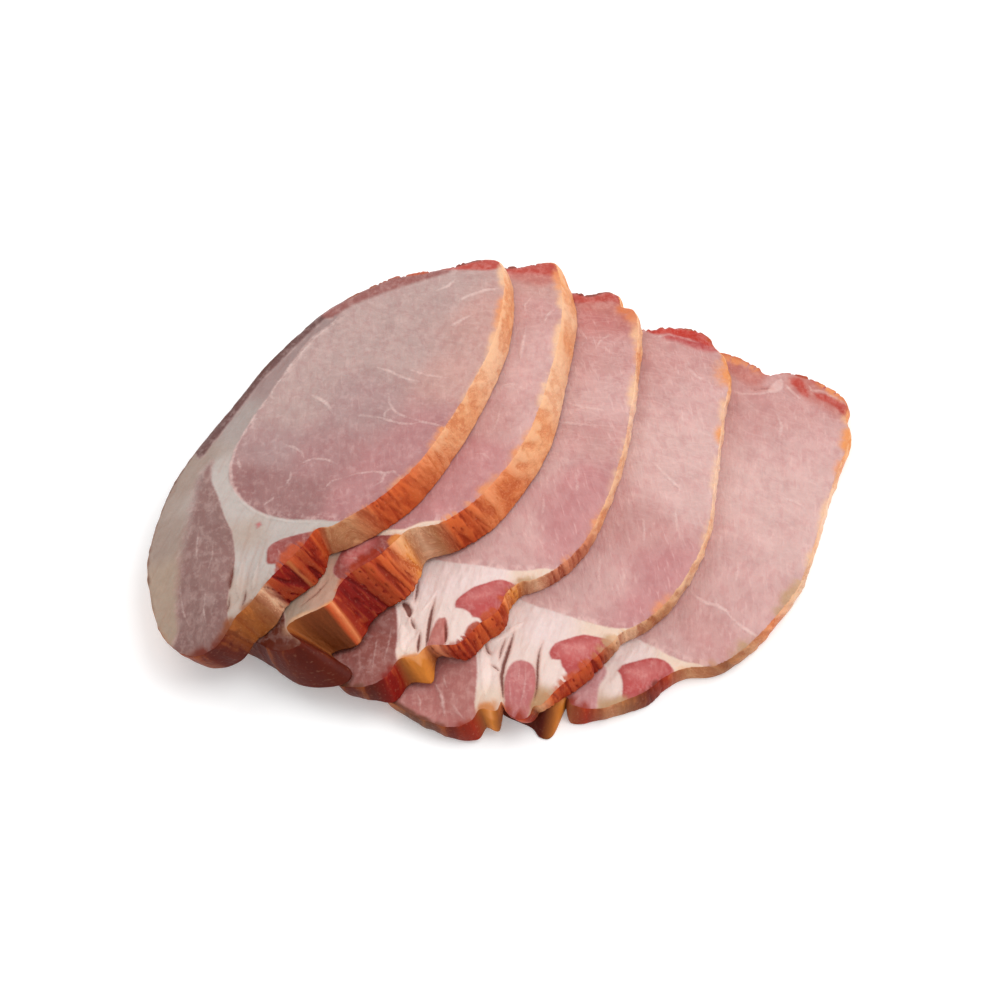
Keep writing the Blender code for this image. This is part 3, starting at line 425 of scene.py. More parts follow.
FOURTH_SLICE = Slice(
    name="slice_4", notch=(31.5, -54.1), turn=19.0, far_thickness=5, tail_thickness=6, squareness=0.8,
    reach=20, rim_foot=0.6,
    eye=((0, 105), (4, 97), (5, 89), (7, 77), (10, 60), (13, 43), (12.5, 29), (9, 14), (5, 6)),
    tail=((0, 0, 0.5), (-1.5, -3.5, 1), (-5, -11, 1.5), (-8, -17, 1.5), (-11, -22.5, 1),
        (-14, -29, 0.5), (-16, -30, 0.5), (-16.5, -33, 0.5), (-21, -34, 0.5), (-25, -31, 0.3),
        (-25.5, -33.5, 5), (-30, -34.5, 5), (-31, -37.5, 5), (-35, -40.5, 2.5), (-43, -41, -0.5),
        (-51, -39.5, -1.5), (-57, -37, -1.5), (-58, -31, -0.5)),
    far_end=((-46, 92), (-38, 102), (-26, 109), (-20, 112), (-12, 113), (-7, 111.5), (-4, 108.3)),
    flecks=0.9,
    muscles=(
        ("eye", 0.4, ((-46, 80), (-50, 60), (-51, 40), (-50, 20), (-44, 8), (-36, 3), (-28, 1.2),
            (-20, 0.9), (-12, 0.6), (-5, 0.5), (-1, 1.2), (3, 3), (8, 6), (20, 20), (20, 50), (14, 84),
            (10, 104), (0, 120), (-20, 122), (-44, 104))),
        ("pink_lobe", 0.5, ((-56, -4), (-48, -8), (-41, -12), (-38, -16), (-36, -20), (-34, -25),
            (-32.6, -30), (-31.6, -34), (-29.6, -38), (-34, -46), (-62, -44), (-64, -16))),
        ("bright_rose", 1.2, ((-20, 107), (-16, 106.6), (-10, 105.6), (-4, 105.8), (-2, 107.4),
            (-10, 109.4), (-18, 109.6))),
        ("scarlet", 0.5, ((-26, 109), (-22, 107.8), (-19, 109.2), (-14, 108.9), (-9, 108.4),
            (-4.6, 107.8), (-3, 114), (-14, 118), (-26, 114))),
        ("bright_rose", 0.4, ((-2.6, -3.3), (-6, -3.4), (-10, -4), (-13, -6), (-16.6, -9.2),
            (-17.2, -12.6), (-15.8, -14.5), (-13.6, -13.9), (-12.4, -15.8), (-10.6, -17.4),
            (-9.7, -19.2), (-10.4, -22.6), (-12, -29), (-4, -24), (4, -6))),
        ("blush_rose", 2.0, ((-5.4, -4.8), (-9.4, -5.6), (-12.6, -7.8), (-15.4, -10.6), (-13, -12.4),
            (-8, -10.4))),
        ("rose", 0.5, ((-25.7, -18.8), (-23.6, -17.4), (-20.4, -17.8), (-18.4, -20.6), (-17, -25),
            (-16.6, -30), (-17, -36), (-22, -37), (-24, -31), (-25.6, -27), (-26.4, -22.4))),
    ),
    flesh=(
        ("pink", (-12, 99)), ("light_pink", (-5, 86)), ("pale_pink", (1, 70)), ("pale_pink", (-8, 62)),
        ("pale_pink", (4, 52)), ("pink", (-5, 36)), ("pink_rose", (5, 24)), ("light_pink", (-10, 15)),
        ("light_pink", (-20, 8)), ("pink_rose", (-30, 50)), ("pink", (-32, 25)), ("pink_rose", (4, 10)),
    ),
    fat=(
        ("pink_fat", (-22, -5)), ("pale_fat", (-14, -20)), ("pale_fat", (-32, -22)),
        ("pale_fat", (-30, -12)), ("cream_fat", (-2, -1.4)), ("cream_fat", (-28, -35)),
        ("straw_fat", (-14.6, -27)), ("pink_fat", (-54, 30)),
    ),
    veins=(
        (0.35, ((-45, -30), (-42.4, -32.4), (-40.4, -35.6), (-38.6, -39))),
        (0.25, ((-38.4, -34.6), (-36, -36.6), (-33.4, -38))),
        (0.15, ((-49, -33.6), (-47, -36), (-46, -39))),
        (0.15, ((-43.6, -27), (-42, -29.6), (-40.8, -31))),
        (0.1, ((-24.6, -25), (-23.4, -28), (-22.6, -30.6))),
        (0.15, ((-21.8, -19.4), (-20.6, -23), (-19.8, -27), (-19.6, -31))),
        (0.05, ((-23.4, -20), (-22.4, -24))),
        (0.3, ((2, 46), (3.4, 42), (5, 38.6))),
        (0.3, ((-6, 40), (-4.4, 36), (-3, 31))),
        (0.3, ((-14, 24), (-12.6, 19), (-11.4, 14))),
        (0.4, ((-9, 60), (-3, 56), (2, 53))),
        (0.35, ((-10, 98), (-6, 95), (-1, 94))),
        (0.3, ((-22, 106.4), (-18.6, 108.8), (-14, 108.4), (-8, 107.8))),
        (1.5, ((-35.6, -17.4), (-33, -21.4), (-31, -26), (-29.6, -31))),
        (0.8, ((-27, -5), (-29.6, -9), (-32, -13.6))),
    ),
    cracks=(
        (0.6, ((-28.9, -8.4), (-28.5, -12), (-28.2, -16), (-28, -20), (-27.3, -24), (-25.8, -27.6),
            (-24, -32))),
        (0.4, ((-20.1, -9.6), (-19.9, -13.4), (-19, -17.4), (-17.8, -21), (-16.7, -25),
            (-16.2, -30.5))),
        (0.3, ((-35.4, -15), (-33.8, -17.4), (-32.2, -18.6))),
        (0.26, ((-31.4, -21.4), (-29.6, -22), (-28.2, -22.6))),
        (0.3, ((-30.4, -12), (-30.2, -16), (-29.6, -19.6))),
    ),
    stains=(
        ("amber", 1.0, 3.6, (3, 99), 5), ("smoke", 0.8, 4.5, (0, 98), 6),
        ("amber", 0.9, 1.6, (1.6, 104), 4), ("butter", 0.9, 1.8, (5.4, 85), 5),
        ("amber", 0.9, 2.0, (7, 77), 4), ("butter", 0.6, 1.6, (9.6, 62), 9),
        ("butter", 0.5, 1.6, (13, 42), 10), ("smoke", 0.5, 2.2, (8, 12), 9),
        ("butter", 0.8, 1.6, (0, -1), 3), ("straw_fat", 0.9, 2.6, (-3, -5), 4),
        ("ember", 0.7, 1.4, (-6, -13), 6), ("ember", 0.8, 1.6, (-10, -21), 5),
        ("straw_fat", 0.9, 2.0, (-14.4, -28), 3.4), ("rust", 0.8, 2.6, (-20.4, -34), 4),
        ("gold", 1.0, 3.0, (-28, -34.4), 3.2), ("rust", 0.9, 1.4, (-33, -39), 5),
        ("bark", 0.9, 0.9, (-48, -40), 12), ("umber", 0.9, 0.6, (-14, 113), 9),
        ("ember", 0.8, 1.0, (-5.4, 110), 4),
    ),
    skin=(
        ("amber", 0.4, (0, 105)), ("amber", 0.4, (3, 99)), ("apricot", 0.4, (4.6, 93)),
        ("pale_peach", 0.3, (5, 87)), ("peach", 0.3, (6.4, 80)), ("pale_peach", 0.3, (8, 70)),
        ("pale_peach", 0.3, (11, 55)), ("peach", 0.4, (13, 43)), ("peach", 0.4, (12.8, 33)),
        ("sand", 0.5, (11.6, 24)), ("wheat", 0.6, (9, 14)), ("wheat", 0.7, (5.6, 7)),
        ("sand", 0.8, (2, 2.4)), ("sand", 0.8, (0, -0.6)), ("wheat", 0.8, (-1.6, -4)),
        ("rust", 0.9, (-4, -9)), ("rust", 0.9, (-7, -15)), ("rust", 0.9, (-10, -21)),
        # The maroon at (-16.4, -31) is painted shadow in the rim's step.
        ("ember", 0.8, (-12.4, -25.6)), ("wheat", 0.6, (-14.4, -29.4)), ("maroon", 0.6, (-16.4, -31)),
        ("rust", 0.6, (-17.6, -33.7)), ("rust", 0.6, (-22, -33.6)), ("tan", 0.4, (-24.6, -31.6)),
        ("ochre", 0.1, (-25.6, -33.6)), ("gold", 0.1, (-27, -34)), ("ochre", 0.1, (-30, -34.6)),
        ("rust", 0.5, (-31.2, -38)), ("brick", 0.5, (-36, -40.8)), ("bark", 0.4, (-43, -41)),
        ("bark", 0.4, (-51, -39.5)), ("umber", 0.3, (-57, -37)), ("bark", 0.3, (-61, 0)),
        ("bark", 0.3, (-57, 70)), ("ember", 0.8, (-32, 106)), ("crimson", 0.9, (-24, 110)),
        ("crimson", 0.9, (-12, 113)), ("ember", 0.8, (-5, 110)),
    ),
)
LOWEST_SLICE = Slice(
    name="slice_5", notch=(49.7, -61.5), turn=29.8, far_thickness=5, tail_thickness=6, squareness=1.0,
    reach=20, rim_foot=0.4,
    eye=((0, 107), (2, 102), (5, 98), (7, 90), (8, 83), (9.5, 74), (14, 52), (15.5, 42), (15, 33),
        (12, 16), (7, 5)),
    tail=((0, 0, 0.5), (-4, -6, 1), (-6, -12, 1.5), (-10, -18, 1), (-15, -24, 0.5), (-22, -26.5, 2.5),
        (-24.5, -25, 0.5), (-26, -27, 8), (-28.5, -30, 7.5), (-31, -29.5, 6.5), (-38, -31, 5),
        (-47, -33, 1)),
    far_end=((-53, 94), (-48, 102), (-41, 106.5), (-31, 107), (-27, 105.5), (-21, 109.8), (-12, 110.8),
        (-4, 109.7)),
    flecks=0.7,
    muscles=(
        ("eye", 0.4, ((-46, 80), (-52, 60), (-53, 40), (-52, 20), (-46, 8), (-36, 3), (-28, 1.4),
            (-20, 1.4), (-12, 1.5), (-5, 1.2), (-1, 1.8), (2, 2.8), (8, 4), (20, 16), (22, 50),
            (14, 84), (10, 104), (0, 116), (-20, 118), (-44, 112))),
        ("pink_lobe", 0.5, ((-58, -4), (-50, -8), (-42, -12), (-38, -16), (-35, -20), (-33, -25),
            (-30, -27), (-28, -34), (-40, -38), (-60, -36), (-64, -10))),
        ("dusky_rose", 2, ((-44, 101), (-36, 99.6), (-30, 99), (-27, 100), (-27, 108), (-42, 110))),
        ("dusky_rose", 2.4, ((-20, 106), (-14, 103.4), (-6, 102.4), (2, 101.6), (4, 112), (-18, 113))),
        ("coral", 0.6, ((-19.8, 107.6), (-18.8, 106.4), (-16.4, 105.2), (-13.6, 103.8), (-11.8, 103.8),
            (-12.4, 105.6), (-14, 107), (-15.6, 108.6), (-17.4, 109.4))),
        ("coral", 0.6, ((-10.6, 106.2), (-9.6, 105), (-6, 104.9), (-2, 104), (0.6, 102.9), (3.6, 102.6),
            (3, 105.6), (-1, 106.8), (-5, 107.3), (-8.8, 107.2))),
        ("coral", 0.8, ((-14, 110.4), (-10, 109.4), (-5, 109), (-2, 108.4), (-3, 112), (-12, 113))),
        ("bright_rose", 0.4, ((-3.4, -1.9), (-6.6, -0.9), (-10, -2), (-13, -5), (-16, -8.4),
            (-16.3, -10.6), (-14.6, -11.6), (-12.6, -14.4), (-11.4, -17), (-9.8, -19.4), (-4, -22),
            (2, -8))),
        ("blush_rose", 2.0, ((-6, -3.4), (-10, -4.4), (-13, -7.4), (-14, -10), (-10.4, -10.6),
            (-6.6, -7.4))),
        ("pink_rose", 0.6, ((-21.8, -10.6), (-19.4, -11.4), (-18.2, -14), (-18.4, -17), (-17, -20.8),
            (-15.6, -24), (-15, -30), (-23, -31), (-24.6, -25), (-24.4, -18), (-23.4, -13))),
    ),
    flesh=(
        ("pink", (-14, 98)), ("light_pink", (-5, 84)), ("pale_pink", (2, 72)), ("pale_pink", (-12, 62)),
        ("pale_pink", (5, 52)), ("light_pink", (-5, 36)), ("light_pink", (6, 28)), ("pink", (-3, 12)),
        ("pink", (-30, 50)), ("pink", (-32, 25)), ("pink", (-25, 96)), ("light_pink", (-10, 6)),
    ),
    fat=(
        ("pink_fat", (-16, -3)), ("pale_fat", (-14, -16)), ("cream_fat", (-3, 0)),
        ("straw_fat", (-12, -22)), ("pink_fat", (-54, 30)), ("amber", (-28, -29)),
    ),
    veins=(
        (0.5, ((15, 19), (10.6, 19.4), (7, 20), (4, 21))),
        (0.55, ((4.6, 20.6), (1, 22.4), (-2, 22.6), (-4.6, 21.8), (-8, 22.2), (-12, 23.8))),
        (0.2, ((-2, 22.6), (-3, 24.4), (-5, 25.6))),
        (0.35, ((-2, 66), (2, 66.6), (6, 66))),
        (0.35, ((-18, 94), (-14, 90), (-12.6, 86))),
        (0.25, ((-4, 40), (-2, 36.4), (-0.6, 32))),
        (0.3, ((-34, 94.6), (-30, 95), (-27, 96.4), (-24.5, 98), (-22, 100.6))),
        (1.6, ((-23.4, 99.4), (-21.6, 102.6), (-22, 106.4))),
        (0.4, ((-20.4, 105), (-17, 103.4), (-13, 101.8))),
        (0.45, ((-14, 108.4), (-12, 106.8), (-9.6, 107.8), (-4, 107.9), (1, 106.8))),
    ),
    cracks=(
        (0.3, ((-24.6, -13.6), (-24.5, -18), (-24.5, -24))),
        (0.22, ((-29, 98.2), (-27, 98.6), (-25, 100.4), (-22.4, 101.4))),
    ),
    stains=(
        ("smoke", 0.9, 2.2, (-36, 106.5), 8), ("rust", 1.0, 0.5, (-36, 107), 7),
        ("rust", 1.0, 0.6, (-19, 110.6), 6), ("smoke", 1.0, 1.8, (-6, 110.4), 6),
        ("ember", 0.9, 0.8, (0, 106), 4), ("butter", 0.9, 2.0, (1.6, 101.6), 2.6),
        ("amber", 1.0, 2.6, (5.4, 95), 5), ("smoke", 0.8, 1.8, (8, 84), 6),
        ("butter", 0.6, 1.4, (11, 66), 10), ("butter", 0.6, 1.4, (14.6, 50), 8),
        ("straw_fat", 0.8, 2.2, (15.4, 36), 10), ("straw_fat", 0.7, 2.8, (11, 14), 8),
        ("wheat", 0.7, 3, (4, 4), 6), ("butter", 0.8, 1.4, (-1, -1), 3),
        ("brick", 0.7, 1.2, (-5, -10), 5), ("straw_fat", 0.9, 2.4, (-11, -20), 4),
        ("rust", 0.9, 2.6, (-20, -26.5), 5), ("ochre", 0.9, 2, (-26, -28), 3),
        ("maroon", 0.9, 2, (-31, -30), 4),
    ),
    skin=(
        ("orange", 0.5, (0, 107)), ("amber", 0.5, (3, 100.6)), ("amber", 0.4, (6, 95)),
        ("apricot", 0.4, (7.4, 87)), ("peach", 0.4, (8.6, 79)), ("pale_peach", 0.3, (10.4, 70)),
        ("peach", 0.3, (13, 57)), ("sand", 0.4, (15, 46)), ("sand", 0.5, (15.4, 37)),
        ("orange", 0.6, (14.4, 26)), ("wheat", 0.5, (12, 16)), ("tawny", 0.5, (8.6, 8)),
        ("wheat", 0.5, (4, 2.6)), ("wheat", 0.5, (0, 0)), ("rust", 0.7, (-3.6, -5.4)),
        ("brick", 0.7, (-6, -12)), ("tawny", 0.6, (-10.2, -18.4)), ("wheat", 0.6, (-12, -21)),
        ("umber", 0.6, (-14.6, -23.8)), ("rust", 0.6, (-18, -25.8)), ("umber", 0.5, (-22, -26.4)),
        ("maroon", 0.4, (-24.3, -25.1)), ("gold", 0.1, (-25.2, -25.9)), ("ochre", 0.1, (-27.2, -28.6)),
        ("maroon", 0.3, (-28.6, -30)), ("maroon", 0.4, (-36, -30.6)), ("brick", 0.4, (-47, -33)),
        ("bark", 0.3, (-61, 0)), ("bark", 0.3, (-58, 70)), ("ember", 0.8, (-48, 102)),
        ("ember", 0.8, (-36, 107)), ("ember", 0.8, (-24, 108)), ("rust", 0.9, (-12, 110.8)),
        ("orange", 0.8, (-4, 109.7)),
    ),
)
SLICES = (TOP_SLICE, SECOND_SLICE, THIRD_SLICE, FOURTH_SLICE, LOWEST_SLICE)
NUMBERS = range(len(SLICES))


# ---------------------------------------------------------------------------------- settings


def shade(name, red, green, blue, where):
    """A color property, as it looks on a screen."""
    return FloatVectorProperty(
        name=name, description=where, subtype="COLOR_GAMMA", size=3, min=0, max=1,
        default=(red / 255, green / 255, blue / 255),
    )


def amount(name, default, description, min=0, **more):
    """A number property, 0 or more unless its own least value is given."""
    return FloatProperty(name=name, default=default, description=description, min=min, **more)


class PorkLoinColors(bpy.types.PropertyGroup):
    """Colors of the lean, of the fat and of the smoked skin."""

    # The greyest pink of the end slice's eye muscle is partly its drier surface and partly painted sheen
    # of the light on its upper half.
    dry_sheen_pink: shade("Ash pink", 192, 161, 155, "Drier eye muscle of the end slice")
    peach_pink: shade("Peach pink", 206, 160, 151, "Eye muscle near a smoked rim")
    mauve: shade("Mauve", 180, 145, 142, "Middle of the end slice's eye muscle")
    dim_mauve: shade("Dim mauve", 180, 134, 132, "Hollow of the end slice's eye muscle")
    pink_mauve: shade("Pink mauve", 200, 146, 145, "Eye muscle beside the back")
    rose_mauve: shade("Rose mauve", 190, 134, 133, "Lower eye muscle of the end slice")
    deep_mauve: shade("Deep mauve", 162, 116, 113, "Bottom of the end slice's eye muscle")
    pink: shade("Pink", 209, 157, 152, "Eye muscle")
    light_pink: shade("Light pink", 218, 172, 167, "Paler eye muscle")
    pale_pink: shade("Pale pink", 224, 182, 176, "Palest eye muscle")
    pink_rose: shade("Pink rose", 206, 145, 144, "Deeper eye muscle")
    warm_rose: shade("Warm rose", 202, 130, 124, "Eye muscle beside the notch")
    lilac: shade("Lilac", 148, 112, 106, "Outer muscle of the end slice")
    lilac_rose: shade("Lilac rose", 150, 88, 80, "Outer muscle of the other slices")
    pink_lobe: shade("Pink lobe", 188, 120, 113, "Outer muscle of the low slices")
    # The second slice's outer muscle is darkened with painted shade, as it lies in shade low on the left
    # under the rind block.
    shaded_wine: shade("Brown wine", 100, 40, 22, "Outer muscle of the second slice")
    plum: shade("Plum", 112, 76, 72, "Thin muscle along the back")
    dusk: shade("Dusk", 158, 98, 92, "Smoked lean at the far end of the end slice")
    dusky_rose: shade("Dusky rose", 200, 124, 114, "Lean next to a smoked end")
    coral: shade("Coral", 194, 78, 66, "Smoked lean at the far end")
    scarlet: shade("Scarlet", 196, 58, 44, "Brightest smoked lean")
    dark_rose: shade("Dark rose", 160, 80, 74, "Small muscle in thick slices")
    bright_rose: shade("Bright rose", 192, 84, 82, "Small muscle in thin slices")
    blush_rose: shade("Blush rose", 208, 116, 112, "Upper side of a small muscle")
    brick_rose: shade("Brick rose", 184, 90, 70, "Small muscle beside the rim")
    rose: shade("Rose", 200, 120, 118, "Finger muscle")

    # The outer fat along the end slice's back, grey fat and dull fat, is greyed partly by painted shade
    # on its left side.
    grey_fat: shade("Grey fat", 158, 132, 128, "Fat along the back of the end slice")
    cool_fat: shade("Cool fat", 168, 152, 146, "Fat beside the eye muscle")
    white_fat: shade("White fat", 192, 179, 172, "Seam under the eye muscle")
    warm_fat: shade("Warm fat", 184, 164, 152, "Fat in the tail of the end slice")
    dull_fat: shade("Dull fat", 162, 140, 128, "Outer fat of the end slice")
    tan_fat: shade("Tan fat", 172, 148, 130, "Outer fat low on the end slice")
    straw_fat: shade("Straw fat", 186, 146, 108, "Fat that the smoke turned yellow")
    cream_fat: shade("Cream fat", 234, 206, 186, "Fat at the notch")
    blush_fat: shade("Blush fat", 192, 152, 132, "Fat in the tail of the second slice")
    pink_fat: shade("Pink fat", 236, 212, 207, "Fat under the eye muscle")
    pale_fat: shade("Pale fat", 236, 212, 203, "Fat between the small muscles")

    pale_peach: shade("Pale peach skin", 242, 202, 178, "Thin smoked skin on fat")
    peach: shade("Peach skin", 238, 184, 146, "Light smoked skin")
    apricot: shade("Apricot skin", 232, 160, 112, "Smoked skin")
    sand: shade("Sand skin", 220, 172, 138, "Pale smoked skin of thin slices")
    tan: shade("Tan skin", 192, 112, 82, "Smoked skin low on thin slices")
    amber: shade("Amber skin", 232, 146, 72, "Orange smoked skin")
    orange: shade("Orange skin", 212, 116, 66, "Strongly smoked skin")
    ember: shade("Ember skin", 188, 78, 36, "Darker smoked skin")
    umber: shade("Umber skin", 158, 86, 52, "Brown smoked skin")
    wheat: shade("Wheat skin", 188, 128, 88, "Fat in the smoked rim")
    rust: shade("Rust skin", 158, 46, 20, "Smoked lean in the rim")
    crimson: shade("Crimson skin", 130, 18, 8, "Deep red smoked lean")
    brick: shade("Brick skin", 112, 34, 15, "Dark smoked lean")
    # The darkest smoked lean, darkened further as painted shade on the low rims of the tails.
    maroon: shade("Maroon skin", 90, 26, 10, "Darkest smoked lean")
    bark: shade("Bark skin", 106, 60, 40, "Smoked back")
    plum_bark: shade("Plum skin", 92, 52, 46, "Smoked thin muscle of the back")
    gold: shade("Gold skin", 214, 128, 48, "Smoked rind on fat")
    ochre: shade("Ochre skin", 146, 80, 34, "Darker smoked rind on fat")
    tawny: shade("Tawny skin", 150, 92, 56, "Smoked fat between two muscles")
    rind: shade("Rind", 114, 54, 22, "Thick smoked rind")

    smoke: shade("Smoke", 228, 146, 92, "Smoke that went into the edge of a cut face")
    butter: shade("Butter", 238, 190, 150, "Thin fat under the skin")
    vein: shade("Vein", 232, 206, 198, "Fat and sinew in the muscles")
    # The inside of a gap is drawn dark as painted shade in the crack.
    gap: shade("Gap", 112, 46, 34, "Inside of a gap between strands")


class PorkLoinFinish(bpy.types.PropertyGroup):
    """Relief and moisture of the slices."""

    edge_step: amount("Edge step", 0.45, "Millimetres between points round a rim", min=0.2)
    face_step: amount("Face step", 0.3, "Millimetres between points of a tail's cut face", min=0.15)
    flute: amount("Flutes", 0.42, "Height of the rim's strands in millimetres")
    groove: amount("Grooves", 0.9, "Depth of a gap between strands in millimetres")
    swell: amount("Swell", 0.3, "How far lean stands above fat in millimetres")
    roughness: amount("Roughness", 0.42, "Roughness of cut lean", max=1, subtype="FACTOR")
    moisture: amount("Moisture", 0.16, "Strength of the wet film on a cut face", max=1, subtype="FACTOR")


class PorkLoinStage(bpy.types.PropertyGroup):
    """Floor, lights and camera."""

    floor_color: shade("Floor", 246, 246, 246, "Color of the floor")
    floor_glow: amount("Floor glow", 0.2, "Light that the floor gives off")
    floor_size: amount("Floor size", 6, "Side of the floor", min=1, unit="LENGTH")
    lens: amount("Lens", 85, "Focal length in millimetres", min=10)
    distance: amount("Distance", 0.69, "From the camera to its aim", min=0.1, unit="LENGTH")
    elevation: amount(
        "Elevation", np.radians(55), "How high the camera looks from", subtype="ANGLE")
    sky: amount("Sky", 0.74, "Strength of the even light")
    key: amount("Key light", 5.6, "Power of the large light")
    back: amount("Back light", 2.6, "Power of the light behind the slices")


class PorkLoinSettings(bpy.types.PropertyGroup):
    """All settings of the slices and their stage."""

    colors: PointerProperty(type=PorkLoinColors)
    finish: PointerProperty(type=PorkLoinFinish)
    stage: PointerProperty(type=PorkLoinStage)


def linear(color):
    """Scene-linear values of a color given as it looks on a screen."""
    color = np.asarray(color, float)
    return np.where(color <= 0.04045, color / 12.92, ((color + 0.055) / 1.055) ** 2.4)


# ---------------------------------------------------------------------------------- plane shapes


def smooth(share):
    """0 up to 0, 1 from 1 on, with a soft start and end between them."""
    share = np.clip(share, 0, 1)
    return share * share * (3 - 2 * share)


def spline(landmarks, step):
    """A closed smooth curve through the landmarks, with a point at each and every step."""
    points = np.array(landmarks, float)
    count = len(points)
    samples = []
    for i in range(count):
        before, start, end, after = (points[(i + k) % count] for k in (-1, 0, 1, 2))
        chords = [
            np.hypot(*(q - p)[:2]) ** 0.5
            for p, q in ((before, start), (start, end), (end, after))
        ]
        leave = (start - before) / chords[0] - (end - before) / (chords[0] + chords[1])
        leave = (leave + (end - start) / chords[1]) * chords[1]
        arrive = (end - start) / chords[1] - (after - start) / (chords[1] + chords[2])
        arrive = (arrive + (after - end) / chords[2]) * chords[1]
        steps = max(1, round(np.hypot(*(end - start)[:2]) / step))
        t = (np.arange(steps) / steps)[:, None]
        samples.append(
            start * (2 * t**3 - 3 * t**2 + 1) + leave * (t**3 - 2 * t**2 + t)
            + end * (3 * t**2 - 2 * t**3) + arrive * (t**3 - t**2)
        )
    return np.concatenate(samples)


def section(piece, step):
    """The slice's edge as rows of x, y and foot."""
    round_back, square_back = np.array(ROUND_BACK, float), np.array(SQUARE_BACK, float)
    back = round_back + (square_back - round_back) * piece.squareness
    edge = spline((
        *((u, v, piece.rim_foot) for u, v in piece.eye),
        *piece.tail,
        *((u, v, BACK_FOOT) for u, v in (*back, *piece.far_end)),
    ), step)
    edge[:, :2] = piece.world(edge[:, 0], edge[:, 1])
    return edge


def outward(loop, evening=0.0):
    """Unit vectors pointing out of a clockwise loop, evened out along it by a squared distance."""
    ahead = np.roll(loop, -1, 0) - np.roll(loop, 1, 0)
    normals = np.stack([-ahead[:, 1], ahead[:, 0]], 1)
    normals /= np.linalg.norm(normals, axis=1)[:, None]
    spacing = np.linalg.norm(ahead, axis=1).mean() / 2
    for _ in range(round(evening / spacing**2)):
        normals = (np.roll(normals, -1, 0) + 2 * normals + np.roll(normals, 1, 0)) / 4
    return normals / np.linalg.norm(normals, axis=1)[:, None]


def distance_to(points, path, closed=False):
    """Distance from points to a path, and how far along it each one's nearest place is, 0 to 1."""
    ends = np.roll(path, -1, 0)
    best, where = np.full(len(points), np.inf), np.zeros(len(points))
    sides = list(zip(path, ends))[: len(path) if closed else -1]
    for number, (a, b) in enumerate(sides):
        step = b - a
        share = np.clip((points - a) @ step / max(step @ step, 1e-12), 0, 1)
        off = points - a - share[:, None] * step
        off = (off * off).sum(1)
        where = np.where(off < best, (number + share) / len(sides), where)
        best = np.minimum(best, off)
    return np.sqrt(best), where


def distance_inside(points, loop):
    """How far points lie inside a closed loop, negative outside it."""
    x, y = points.T
    inside = np.zeros(len(points), bool)
    for (ax, ay), (bx, by) in zip(loop, np.roll(loop, -1, 0)):
        if ay != by:
            inside ^= ((ay > y) != (by > y)) & (x < ax + (bx - ax) * (y - ay) / (by - ay))
    return np.where(inside, 1, -1) * distance_to(points, loop, closed=True)[0]


def ripple(places, size, seed):
    """Smooth random heights between -1 and 1 whose hills are about a size apart."""
    cell = places / size
    corner = np.floor(cell).astype(np.int64)
    share = cell - corner
    share = smooth(share)
    total = 0.0
    for i in (0, 1):
        for j in (0, 1):
            code = (corner[:, 0] + i) * 73856093 ^ (corner[:, 1] + j) * 19349663 ^ seed * 83492791
            code = (code ^ (code >> 13)) * 1274126177 & 0x7FFFFFFF
            weight = (share[:, 0] if i else 1 - share[:, 0]) * (share[:, 1] if j else 1 - share[:, 1])
            total = total + weight * ((code ^ (code >> 16)) % 20011 / 10005 - 1)
    return total


def layered(places, layers):
    """Ripples of several sizes added up."""
    return sum(height * ripple(places, size, seed) for height, size, seed in layers)


# ---------------------------------------------------------------------------------- how slices lie


def thickness(number, plan):
    """Height of a slice between its two faces."""
    piece = SLICES[number]
    along = piece.section(plan)[:, 1]
    share = np.clip((along - TAIL_V) / (FAR_V - TAIL_V), 0, 1)
    even = piece.tail_thickness + share * (piece.far_thickness - piece.tail_thickness)
    x, y = plan.T
    return even + FACE_WAVE * np.sin(x / 9 + 2 * number) * np.sin(y / 11 + number)


def underside(number, plan, drapes):
    """Height of a slice's lower face: the slices below it, each sagging away past its edge."""
    stiffer = smooth((plan[:, 1] - REACH_FROM) / (REACH_TO - REACH_FROM))
    reach = SLICES[number].reach + (STIFF_REACH - SLICES[number].reach) * stiffer
    height = np.zeros(len(plan))
    for below in NUMBERS[number + 1:]:
        inside = distance_inside(plan, drapes[below][:, :2])
        height += smooth(inside / reach + 1) * (thickness(below, plan) + GAP)
    return height


def grid_inside(loop, step, detail):
    """Grid points inside a loop and the triangles that join them to it, facing up.

    The detail of a place is how many steps lie between its points: 1, 2 or 8.
    """
    low, high = loop.min(0), loop.max(0)
    row_step = step * 3**0.5 / 2
    rows = np.arange(int(low[1] // row_step), int(high[1] // row_step) + 2)
    columns = np.arange(int(low[0] // step) - 2, int(high[0] // step) + 2)
    column, row = (axis.ravel() for axis in np.meshgrid(columns, rows))
    grid = np.stack([(column + (row % 2) / 2) * step, row * row_step], -1)
    # A row is shifted by half a column, so a coarser grid's points have this column number.
    straight = 2 * column + row % 2
    sparse = detail(grid)
    kept = sparse == 1
    for wide in (2, 8):
        shifted = straight - wide * ((row // wide) % 2)
        kept |= (sparse == wide) & (row % wide == 0) & (shifted % (2 * wide) == 0)
    grid, sparse = grid[kept], sparse[kept]
    grid = grid[distance_inside(grid, loop) > 0.5 * step * np.minimum(sparse, 4)]
    count = len(loop)
    points = [Vector(p) for p in (*loop, *grid)]
    border = [(i, (i + 1) % count) for i in range(count)]
    found = delaunay_2d_cdt(points, border, [], 1, 1e-7)
    triangles = np.array([[found[3][corner][0] for corner in face] for face in found[2]])
    return grid, triangles


# ---------------------------------------------------------------------------------- tissues


def blended(anchors, places, palette):
    """Colors at places, each blended from the nearest anchors' colors."""
    total, weight = 0.0, 0.0
    for name, place in anchors:
        share = 1 / (((places - place) ** 2).sum(1) + 9) ** 2
        total = total + share[:, None] * palette[name]
        weight = weight + share
    return total / weight[:, None]


